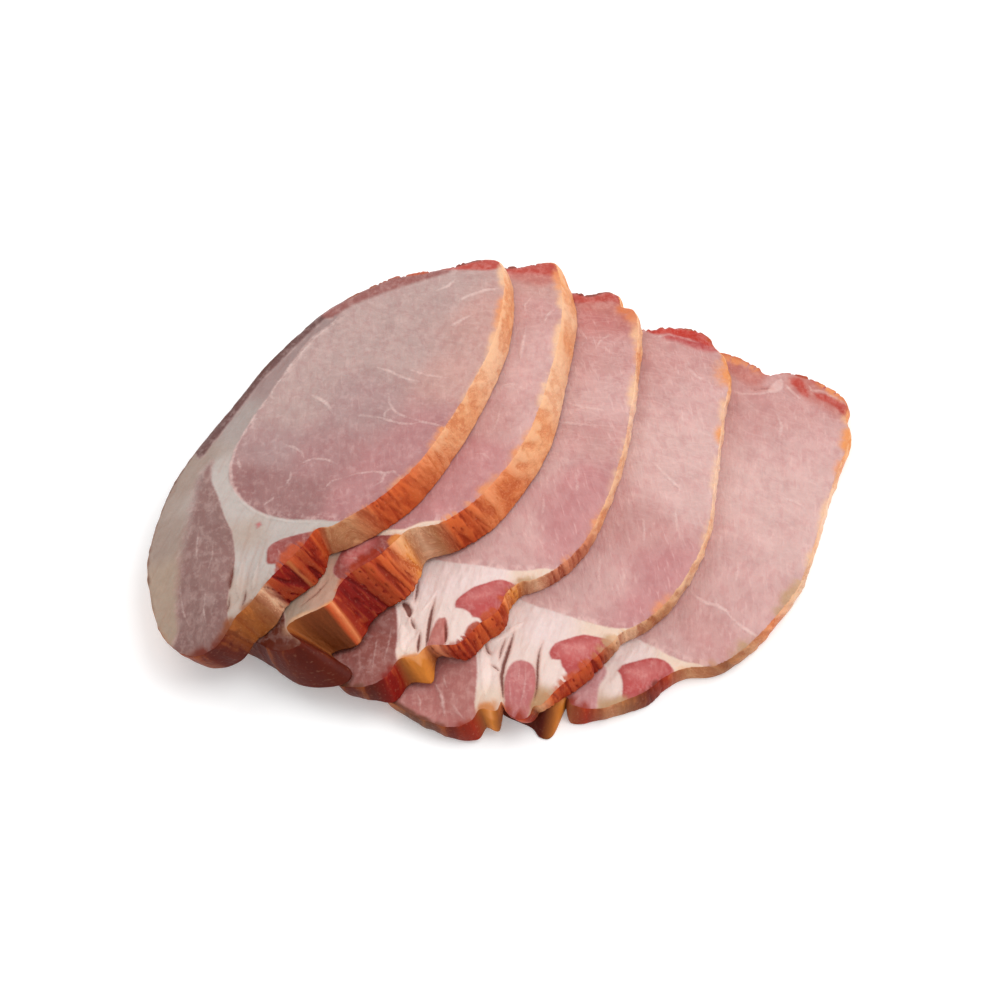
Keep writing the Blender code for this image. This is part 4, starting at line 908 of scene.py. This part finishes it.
def tissues(piece, places, palette):
    """The tissue map at places of a section.

    Gives the colors of lean and fat, how far inside the lean a place is as a multiple of the
    softness of its edge and in millimetres, how strong its flecks are, and how far inside a vein
    and a gap it is.
    """
    flesh = blended(piece.flesh, places, palette)
    lean, deep = np.full(len(places), -20.0), np.full(len(places), -20.0)
    for name, soft, outline in piece.muscles:
        outline = spline(outline, 1.5)
        inside = distance_inside(places, outline[:, :2])
        if outline.shape[1] == 3:
            soft = outline[nearest(places, outline[:, :2]), 2]
        if name == "eye":
            flecks = piece.flecks * smooth(inside / 4)
        else:
            share = smooth(inside / (2 * soft) + 0.5)
            flesh = flesh + (palette[name] - flesh) * share[:, None]
            flecks = flecks + (0.3 - flecks) * share
        lean, deep = np.maximum(lean, inside / soft), np.maximum(deep, inside)
    fat = blended(piece.fat, places, palette)
    strands = []
    for paths in (piece.veins, piece.cracks):
        best = np.full(len(places), -5.0)
        for width, path in paths:
            off, where = distance_to(places, np.array(path, float))
            tapered = width - (abs(width) + 0.15) * np.abs(2 * where - 1) ** 3
            best = np.maximum(best, tapered - off)
        strands.append(best)
    return flesh, fat, lean, deep, flecks, *strands


def soaked(piece, places, inward, palette):
    """The color and the strength of what went into a cut face from its rim."""
    total, weight, most = 0.0, 1e-6, 0.0
    for name, strength, width, place, radius in piece.stains:
        away = ((places - place) ** 2).sum(1)
        share = strength * np.exp(-away / radius**2) * np.exp(-((inward / (1.4 * width)) ** 1.5))
        total = total + share[:, None] * palette[name]
        weight, most = weight + share, np.maximum(most, share)
    return total / weight[:, None], most


def around(edge, marks, values):
    """Values at each point of an edge, given at marks that lie near it."""
    lengths = np.linalg.norm(edge - np.roll(edge, 1, 0), axis=1)
    total = lengths.sum()
    lengths = lengths.cumsum() - lengths[0]
    at = [lengths[((edge - mark) ** 2).sum(1).argmin()] for mark in marks]
    order = np.argsort(at)
    values = np.array(values, float)
    return np.stack([
        np.interp(lengths, np.array(at)[order], column[order], period=total) for column in values.T
    ], 1)


def nearest(points, loop):
    """Index of the loop's nearest point to each point."""
    return np.concatenate([
        ((chunk[:, None] - loop) ** 2).sum(-1).argmin(1)
        for chunk in np.array_split(points, len(points) // 3000 + 1)
    ])


# ---------------------------------------------------------------------------------- slices


def upper_relief(places, inward, deep, vein, gap, finish):
    """How far the upper face stands above its even form."""
    lift = finish.swell * (smooth((deep + 0.6) / 2.4) - 0.5)
    lift += layered(places, HILLS)
    # Fat is stringy along v.
    lift += smooth((-deep + 0.5) / 1.5) * (
        0.2 * ripple(places * (1, 0.3), 1.3, 24) + 0.12 * ripple(places, 2.4, 25))
    lift -= finish.groove * smooth((gap + 0.4) / 0.9)
    lift += 0.1 * smooth((vein + 0.4) / 1.2)
    lift *= smooth(inward / 1.6)
    return lift - EDGE_DROP * (1 - smooth(inward / 1.1))


def keep(mesh, name, kind, values):
    """Stores a value of each point with the mesh, for its material."""
    layer = mesh.attributes.new(name, kind, "POINT")
    key = {"FLOAT": "value", "FLOAT_VECTOR": "vector", "FLOAT_COLOR": "color"}[kind]
    layer.data.foreach_set(key, np.asarray(values, float).ravel())


def slice_mesh(number, drapes, settings):
    """The dressed mesh of one slice."""
    piece, finish, colors = SLICES[number], settings.finish, settings.colors
    palette = {name: linear(getattr(colors, name)) for name in colors.__annotations__}
    edge = section(piece, finish.edge_step)
    top = edge[:, :2]
    count = len(top)
    own = piece.section(top)
    skin = around(
        own, [place for _, _, place in piece.skin],
        [(*palette[name], fibre) for name, fibre, _ in piece.skin],
    )
    fibre = skin[:, 3]

    # The rim: rings from its foot up to the upper edge.
    normal = outward(top)
    height = thickness(number, top)
    step = np.eye(2)
    slope = np.stack([
        (underside(number, top + step[k], drapes) - underside(number, top - step[k], drapes)) / 2
        for k in (0, 1)
    ], 1)
    foot = top + height[:, None] * slope + outward(top, FOOT_EVENING) * edge[:, 2:3]
    low, high = underside(number, foot, drapes), underside(number, top, drapes) + height
    levels = np.linspace(0, 1, max(8, round(height.max() / finish.edge_step)) + 1)
    depth = finish.flute * (0.35 + fibre)
    lean_over = ((1 - smooth((fibre - 0.4) / 0.5)) * smooth(own[:, 1] / 4))[:, None] * EYE_SLANT
    stringy = fibre * smooth((fibre - 0.5) / 0.35)
    rim, rim_ridge, rim_place = [], [], []
    for level in levels:
        rise = level * height
        slant = own + rise[:, None] * STRAND_SLANT
        wide = ripple(slant, 2.6, 3)
        cleft = 1 - smooth(np.minimum(np.abs(wide) / 0.22, np.abs(ripple(slant, 1.7, 7)) / 0.12))
        strand = 0.3 + 0.5 * wide + 0.35 * ripple(slant, 1.0, 5) - cleft
        leaning = own + (rise - height)[:, None] * lean_over
        ridge = 1.3 * stringy * strand + 1.4 * (1 - stringy) * layered(leaning, KNOBS)
        swell = RIM_BULGE * 4 * level * (1 - level)
        ends = 0.5 + 0.5 * smooth(4 * level * (1 - level) / 0.4)
        plan = foot + (top - foot) * level + normal * (swell + depth * ridge * ends)[:, None]
        rounded = EDGE_ROUNDING * (smooth((0.06 - level) / 0.06) - smooth((level - 0.94) / 0.06))
        tips = 0.5 * stringy * strand * smooth((piece.tail_thickness - 5) / 4 + 0.4)
        rim.append(np.column_stack([
            plan, low + (high - low) * level + rounded + tips * smooth(level * 3 - 2)]))
        rim_ridge.append(ridge)
        rim_place.append(np.column_stack([leaning, rise]))
    faces = [
        (a + i, b + i, b + (i + 1) % count, a + (i + 1) % count)
        for a, b in zip(range(0, count * len(levels), count), range(count, count * len(levels), count))
        for i in range(count)
    ]

    # The two cut faces. What lies under the next slice needs few points.
    def detail(plan):
        sparse = np.where(piece.section(plan)[:, 1] < 3, 1, 2)
        if number:
            cover = distance_inside(plan, drapes[number - 1][:, :2])
            sparse = np.where(cover > 3.5, 8, sparse)
        return sparse

    def coarse(plan):
        return np.full(len(plan), 8)

    corners, places, spots = [*rim], [*rim_place], [own] * len(levels)
    nears = [np.arange(count)] * len(levels)
    sides = [np.full(count, 0.5 if level in (0, 1) else 1.0) for level in levels]
    heights = [np.full(count, level) for level in levels]
    made = count * len(levels)
    for ring, first, extra, wanted in ((rim[0], 0, 0, coarse), (rim[-1], made - count, 1, detail)):
        grid, triangles = grid_inside(ring[:, :2], finish.face_step, wanted)
        flat = underside(number, grid, drapes) + extra * thickness(number, grid)
        corners.append(np.column_stack([grid, flat]))
        spots.append(piece.section(grid))
        places.append(np.column_stack([spots[-1], extra * thickness(number, grid)]))
        nears.append(nearest(grid, top))
        sides.append(np.zeros(len(grid)))
        heights.append(np.full(len(grid), float(extra)))
        remap = np.where(triangles < count, triangles + first, triangles - count + made)
        faces += [tuple(row) for row in (remap if extra else remap[:, ::-1])]
        made += len(grid)
    corners, places, near = np.concatenate(corners), np.concatenate(places), np.concatenate(nears)
    ridges = np.concatenate([*rim_ridge, ridge[near[count * len(levels):]]])
    uv = np.concatenate(spots)
    flesh, fat, lean, deep, flecks, vein, gap = tissues(piece, uv, palette)
    inward = np.where(np.concatenate(sides) > 0, 0, np.linalg.norm(corners[:, :2] - top[near], axis=1))
    is_top = np.arange(len(corners)) >= made - len(grid)

    lift = upper_relief(uv, inward, deep, vein, gap, finish)
    lift += tips[near] * (1 - smooth(inward / 2.2))
    corners[:, 2] += np.where(is_top, lift, 0)
    smoke, stain = soaked(piece, uv, inward, palette)

    mesh = bpy.data.meshes.new(piece.name)
    moved = corners - (*MIDDLE, 0)
    mesh.from_pydata((moved * MM).tolist(), [], faces)
    for name, values in (
        ("flesh", flesh), ("fat", fat), ("smoke", smoke), ("skin", skin[near, :3]),
    ):
        keep(mesh, name, "FLOAT_COLOR", np.column_stack([values, np.ones(len(values))]))
    keep(mesh, "place", "FLOAT_VECTOR", places)
    for name, values in (
        ("lean", lean), ("vein", vein), ("gap", gap), ("side", np.concatenate(sides)),
        ("ridge", ridges), ("stain", stain), ("fibre", fibre[near]),
        ("level", np.concatenate(heights)), ("flecks", flecks),
    ):
        keep(mesh, name, "FLOAT", values)
    mesh.shade_smooth()
    mesh.update()
    return mesh


# ---------------------------------------------------------------------------------- materials


class Socket:
    """A node's output, on which arithmetic adds Math nodes."""

    def __init__(self, graph, output):
        self.graph, self.output = graph, output

    def math(self, operation, *values):
        return self.graph.node(
            "ShaderNodeMath", {"operation": operation}, dict(enumerate(values))).out()

    def __add__(self, other):
        return self.math("ADD", self, other)

    def __radd__(self, other):
        return self.math("ADD", other, self)

    def __sub__(self, other):
        return self.math("SUBTRACT", self, other)

    def __rsub__(self, other):
        return self.math("SUBTRACT", other, self)

    def __mul__(self, other):
        return self.math("MULTIPLY", self, other)

    def __rmul__(self, other):
        return self.math("MULTIPLY", other, self)

    def __abs__(self):
        return self.math("ABSOLUTE", self)

    def atleast(self, other):
        return self.math("MAXIMUM", self, other)

    def ramp(self, start, end):
        """0 at one value and 1 at another, with a soft start and end between them."""
        return self.graph.node(
            "ShaderNodeMapRange", {"interpolation_type": "SMOOTHSTEP"},
            {"Value": self, "From Min": start, "From Max": end}).out()


class Node:
    """A node of a graph."""

    def __init__(self, graph, made):
        self.graph, self.made = graph, made

    def out(self, key=0):
        return Socket(self.graph, self.made.outputs[key])


class Graph:
    """The nodes of one material."""

    def __init__(self, name):
        self.material = bpy.data.materials.new(name)
        self.material.use_nodes = True
        self.tree = self.material.node_tree
        self.tree.nodes.clear()

    def node(self, kind, settings=None, sockets=None):
        """Adds a node: its settings first, then the values or links of its sockets."""
        made = self.tree.nodes.new(kind)
        for name, value in (settings or {}).items():
            setattr(made, name, value)
        for key, value in (sockets or {}).items():
            if isinstance(value, Socket):
                self.tree.links.new(value.output, made.inputs[key])
            else:
                made.inputs[key].default_value = value
        return Node(self, made)

    def value(self, name):
        return self.node("ShaderNodeAttribute", {"attribute_name": name}).out("Fac")

    def vector(self, name):
        return self.node("ShaderNodeAttribute", {"attribute_name": name}).out("Vector")

    def color(self, name):
        return self.node("ShaderNodeAttribute", {"attribute_name": name}).out("Color")

    def noise(self, vector, scale, detail=2.0, roughness=0.5, distortion=0.0, axes=None):
        """Random patches, drawn out along an axis where its number is below 1."""
        if axes:
            vector = self.node(
                "ShaderNodeVectorMath", {"operation": "MULTIPLY"}, {0: vector, 1: axes}).out()
        return self.node("ShaderNodeTexNoise", {}, {
            "Vector": vector, "Scale": scale, "Detail": detail, "Roughness": roughness,
            "Distortion": distortion,
        }).out("Fac")

    def lines(self, vector, scale, detail, roughness, distortion, axes):
        """Thin random lines, 1 along their middle."""
        noise = self.noise(vector, scale, detail, roughness, distortion, axes)
        return 1 - abs(noise * 2 - 1)

    def mix(self, factor, below, above, blend="MIX"):
        """Lays one color over another."""
        node = self.node("ShaderNodeMix", {"data_type": "RGBA", "blend_type": blend}, {0: factor})
        for key, value in ((6, below), (7, above)):
            if isinstance(value, Socket):
                self.tree.links.new(value.output, node.made.inputs[key])
            else:
                node.made.inputs[key].default_value = (*value, 1)
        return node.out(2)

    def times(self, color, other):
        return self.mix(1.0, color, other, "MULTIPLY")

    def tint(self, color, factor):
        """A color made lighter or darker by a number."""
        grey = self.node("ShaderNodeCombineColor", {}, {0: factor, 1: factor, 2: factor}).out()
        return self.times(color, grey)


def meat_material(name, settings):
    """Cured pork: lean, fat, veins and smoked skin by the mesh's own tissue map."""
    colors, finish = settings.colors, settings.finish
    graph = Graph(name)
    place = graph.vector("place")
    lean, vein, gap = graph.value("lean"), graph.value("vein"), graph.value("gap")
    side, level, ridge = graph.value("side"), graph.value("level"), graph.value("ridge")
    stain, fibre, flecks = graph.value("stain"), graph.value("fibre"), graph.value("flecks")

    # The lean's fibres are cut slantwise, so their ends show as short pale strokes.
    turned = graph.node("ShaderNodeVectorRotate", {"rotation_type": "Z_AXIS"}, {
        "Vector": place, "Angle": np.radians(STROKE_TURN),
    }).out()
    along = graph.node("ShaderNodeSeparateXYZ", {}, {0: place}).out(1)
    fine = graph.noise(place, 1.3, 3, 0.6)
    clouds = graph.noise(place, 0.13, 3, 0.55)
    patches = graph.noise(place, 0.5, 4, 0.6)
    mottle = graph.noise(turned, 0.42, 3, 0.55, 0.4, (1, 0.6, 0.3))
    strokes = graph.noise(turned, 1.0, 2, 0.5, 0.4, (1, 0.2, 0.3))
    arcs = graph.lines(place, 0.3, 3, 0.55, 0.8, (0.35, 1, 0.3))

    # Lean: clouded, with deeper patches, pale strokes and, towards the far end, pale arcs. Where
    # its flecks are weak, as in the small muscles, it is mottled with fat.
    own = graph.color("flesh")
    flesh = graph.tint(own, 0.61 + 0.3 * clouds + 0.08 * mottle + 0.06 * fine)
    deep = graph.times(flesh, (0.93, 0.78, 0.8))
    pale = graph.mix(0.3, graph.tint(own, 1.0), linear(colors.vein))
    flesh = graph.mix(mottle.ramp(0.56, 0.34) * (0.45 + 0.1 * flecks), flesh, deep)
    flesh = graph.mix(patches.ramp(0.48, 0.7) * (0.5 - 0.4 * flecks), flesh, pale)
    clustered = 0.25 + 0.5 * clouds.ramp(0.4, 0.6)
    flesh = graph.mix(strokes.ramp(0.55, 0.76) * flecks * clustered, flesh, pale)
    flesh = graph.mix(arcs.ramp(0.88, 1.0) * along.ramp(15, 65) * flecks * 0.3, flesh, pale)
    flesh = graph.mix(mottle.ramp(0.5, 0.66) * (0.9 - 2 * flecks), flesh, pale)
    stringy = (vein + 0.5 * (fine - 0.5) + 0.7 * (patches - 0.5)).ramp(-0.4, 0.45)
    flesh = graph.mix(stringy * (0.2 + 0.7 * patches), flesh,
                      graph.mix(0.6, graph.tint(own, 1.05), linear(colors.vein)))

    # Fat: stringy along v, with rosy hollows and gaps darkened by painted shade. It frays into the lean.
    own = graph.color("fat")
    strands = graph.noise(place, 0.75, 3, 0.6, 0.3, (1, 0.16, 0.3))
    fat = graph.tint(own, 0.76 + 0.16 * patches + 0.14 * strands)
    rosy = graph.times(own, (0.86, 0.7, 0.66))
    fat = graph.mix(strands.ramp(0.46, 0.3) * 0.35, fat, rosy)
    fat = graph.mix(stringy * 0.5, fat, graph.tint(own, 1.12))
    ragged = lean + 1.3 * (fine - 0.5) + 1.6 * (patches - 0.5)
    face = graph.mix(ragged.ramp(-1, 1), fat, flesh)
    # Painted shade on the slopes beside a gap and inside it.
    flank_shade = (gap + 1.4 * (patches - 0.5)).ramp(-1.2, 0) * 0.35
    face = graph.mix(flank_shade, face, graph.times(face, (0.85, 0.62, 0.56)))
    opened = (gap + 0.5 * (fine - 0.5)).ramp(-0.15, 0.4)
    face = graph.mix(opened * 0.9, face, linear(colors.gap))

    # Smoke went in unevenly from the rim.
    reached = (stain * (0.5 + patches + 1.2 * fibre * ridge)).ramp(0.15, 0.75)
    face = graph.mix(reached * 0.85, face, graph.tint(graph.color("smoke"), 0.8 + 0.3 * fine))

    # Skin: where it is fibrous, strands run from the rim's foot up to its upper edge, with painted shade
    # between them and painted highlights on top, stronger towards the upper edge. Elsewhere it is
    # dappled. The painted highlights are milky on light skin and amber on dark skin.
    own = graph.color("skin")
    hair = graph.noise(place, 0.8, 3, 0.55, 0.15, (1, 1, 0.22))
    dapple = graph.noise(place, 0.42, 3, 0.6, 0.4, (1, 1, 0.7))
    skin = graph.tint(own, 0.68 + 0.3 * dapple + 0.2 * fine)
    groove_shade = graph.mix(
        fibre, graph.times(own, (0.86, 0.6, 0.42)), graph.times(own, (0.64, 0.4, 0.37)))
    amber_highlight = graph.mix(0.14 + 0.2 * fibre, graph.tint(own, 1.3), linear(colors.amber))
    milky_highlight = graph.mix(0.5, own, linear(colors.butter))
    light = graph.node("ShaderNodeRGBToBW", {}, {0: own}).out().ramp(0.16, 0.36)
    crest_highlight = graph.mix(light, amber_highlight, milky_highlight)
    relief = 0.8 * ridge + (hair - 0.5) * (1.8 * fibre - 0.2) + 1.1 * (dapple - 0.5)
    rough_skin = fibre.ramp(0.12, 0.4)
    # Painted shade in the grooves between strands, then painted highlights on their crests.
    skin = graph.mix(relief.ramp(0.05, -0.5) * rough_skin * (0.2 + 0.7 * fibre), skin, groove_shade)
    crest = relief.ramp(0.05, 0.5) * rough_skin * (0.45 - 0.15 * fibre + 0.4 * level.ramp(0.55, 1))
    skin = graph.mix(crest, skin, crest_highlight)
    # Painted glints: pale specks and threads where the lamps would catch the skin.
    glint_threads = graph.lines(place, 0.5, 3, 0.5, 1.4, (1, 1, 0.4))
    glint_specks = graph.noise(place, 1.5, 2, 0.5).ramp(0.6, 0.7) * (0.4 + 0.6 * light)
    glints = (glint_threads.ramp(0.93, 1.0) * light).atleast(glint_specks) * rough_skin * (0.25 + 0.35 * patches)
    spark = graph.mix(0.35 + 0.2 * light, graph.tint(own, 1.4), linear(colors.butter))
    skin = graph.mix(glints, skin, spark)
    # Painted highlight along the rim's upper edge.
    lip_highlight = (level + 0.4 * (dapple - 0.5) + 0.3 * ridge).ramp(0.74, 0.98)
    skin = graph.mix(lip_highlight * (0.3 + 0.35 * light), skin, graph.mix(light, graph.tint(own, 1.4), milky_highlight))
    turn = (side + 0.5 * (fine - 0.5) + 0.3 * (patches - 0.5)).ramp(0.28, 0.5)
    color = graph.mix(turn, face, skin)

    # Finish and fine relief.
    wet = graph.noise(place, 0.35, 3, 0.6)
    rough = finish.roughness + 0.2 * (strokes - 0.5) + 0.16 * (wet - 0.5) + turn * 0.05
    height = (0.3 + 0.6 * flecks) * strokes + 0.5 * mottle + 0.35 * fine + 0.4 * stringy + 0.4 * strands
    height = height * (1 - turn) + turn * (1.4 * fibre * hair + 0.9 * dapple + 0.4 * fine)
    bump = graph.node("ShaderNodeBump", {}, {
        "Strength": BUMP_STRENGTH, "Distance": BUMP_DEPTH, "Height": height,
    }).out()
    shader = graph.node("ShaderNodeBsdfPrincipled", {}, {
        "Base Color": color, "Roughness": rough, "Normal": bump,
        "Coat Weight": wet.ramp(0.45, 0.65) * (1 - turn) * finish.moisture, **MEAT_SHADER,
    })
    graph.node("ShaderNodeOutputMaterial", {}, {"Surface": shader.out()})
    return graph.material


def plain_material(name, color, roughness, glow):
    """One color, for the floor, that glows a little to soften the shadows on it."""
    graph = Graph(name)
    shader = graph.node("ShaderNodeBsdfPrincipled", {}, {
        "Base Color": (*linear(color), 1), "Roughness": roughness,
        "Emission Color": (*linear(color), 1), "Emission Strength": glow,
    })
    graph.node("ShaderNodeOutputMaterial", {}, {"Surface": shader.out()})
    return graph.material


# ---------------------------------------------------------------------------------- operators


def linked(name, data):
    """A new object in the scene."""
    made = bpy.data.objects.new(name, data)
    bpy.context.scene.collection.objects.link(made)
    return made


class PORKLOIN_OT_slices(bpy.types.Operator):
    """Make the five slices and lay each over its solid"""

    bl_idname = "pork_loin.slices"
    bl_label = "Slices"

    def execute(self, context):
        settings = context.scene.pork_loin
        drapes = [section(piece, DRAPE_STEP) for piece in SLICES]
        for number in NUMBERS:
            solid = SLICES[number].name
            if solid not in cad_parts:
                raise RuntimeError(f"The frame has no solid called {solid}")
            mesh = slice_mesh(number, drapes, settings)
            mesh.materials.append(meat_material(f"cured pork {number + 1}", settings))
            meat = linked(f"meat_{number + 1}", mesh)
            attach(meat, "root")
            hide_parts(solid)
        return {"FINISHED"}


class PORKLOIN_OT_stage(bpy.types.Operator):
    """Make the floor, the lights and the camera"""

    bl_idname = "pork_loin.stage"
    bl_label = "Stage"

    def execute(self, context):
        scene, stage = context.scene, context.scene.pork_loin.stage
        half = stage.floor_size / 2
        mesh = bpy.data.meshes.new("floor")
        mesh.from_pydata(
            [(-half, -half, 0), (half, -half, 0), (half, half, 0), (-half, half, 0)], [], [(0, 1, 2, 3)])
        mesh.materials.append(
            plain_material("floor", stage.floor_color, FLOOR_ROUGHNESS, stage.floor_glow))
        floor = linked("floor", mesh)
        floor.location.z = -FLOOR_DROP

        world = bpy.data.worlds.new("studio")
        world.use_nodes = True
        background = world.node_tree.nodes["Background"]
        background.inputs["Color"].default_value = (1, 1, 1, 1)
        background.inputs["Strength"].default_value = stage.sky
        scene.world = world
        for name, size, place in LAMPS:
            light = bpy.data.lights.new(name, "AREA")
            light.energy, light.size = getattr(stage, name), size
            lamp = linked(name, light)
            lamp.location = place
            lamp.rotation_euler = (-lamp.location).to_track_quat("-Z", "Y").to_euler()

        camera = linked("camera", bpy.data.cameras.new("camera"))
        camera.data.lens, camera.data.sensor_width = stage.lens, SENSOR_WIDTH
        look = Vector(AIM) * MM
        away = Vector((0, -np.cos(stage.elevation), np.sin(stage.elevation)))
        camera.location = look + away * stage.distance
        camera.rotation_euler = away.to_track_quat("Z", "Y").to_euler()
        camera.data.clip_start = NEAREST_SEEN
        scene.camera = camera
        scene.view_settings.view_transform = "Standard"
        return {"FINISHED"}


class PORKLOIN_PT_panel(bpy.types.Panel):
    """The slices' settings in the sidebar"""

    bl_label = "Sliced smoked pork loin"
    bl_idname = "PORKLOIN_PT_panel"
    bl_space_type = "VIEW_3D"
    bl_region_type = "UI"
    bl_category = "Pork loin"

    def draw(self, context):
        settings = context.scene.pork_loin
        self.layout.operator(PORKLOIN_OT_slices.bl_idname)
        self.layout.operator(PORKLOIN_OT_stage.bl_idname)
        for group in (settings.finish, settings.stage, settings.colors):
            box = self.layout.box()
            for name in group.__annotations__:
                box.prop(group, name)


CLASSES = (
    PorkLoinColors, PorkLoinFinish, PorkLoinStage, PorkLoinSettings,
    PORKLOIN_OT_slices, PORKLOIN_OT_stage, PORKLOIN_PT_panel,
)


def register():
    for item in CLASSES:
        bpy.utils.register_class(item)
    bpy.types.Scene.pork_loin = PointerProperty(type=PorkLoinSettings)


def unregister():
    del bpy.types.Scene.pork_loin
    for item in reversed(CLASSES):
        bpy.utils.unregister_class(item)


def main():
    register()
    bpy.ops.pork_loin.slices()
    bpy.ops.pork_loin.stage()


if __name__ == "__main__":
    main()
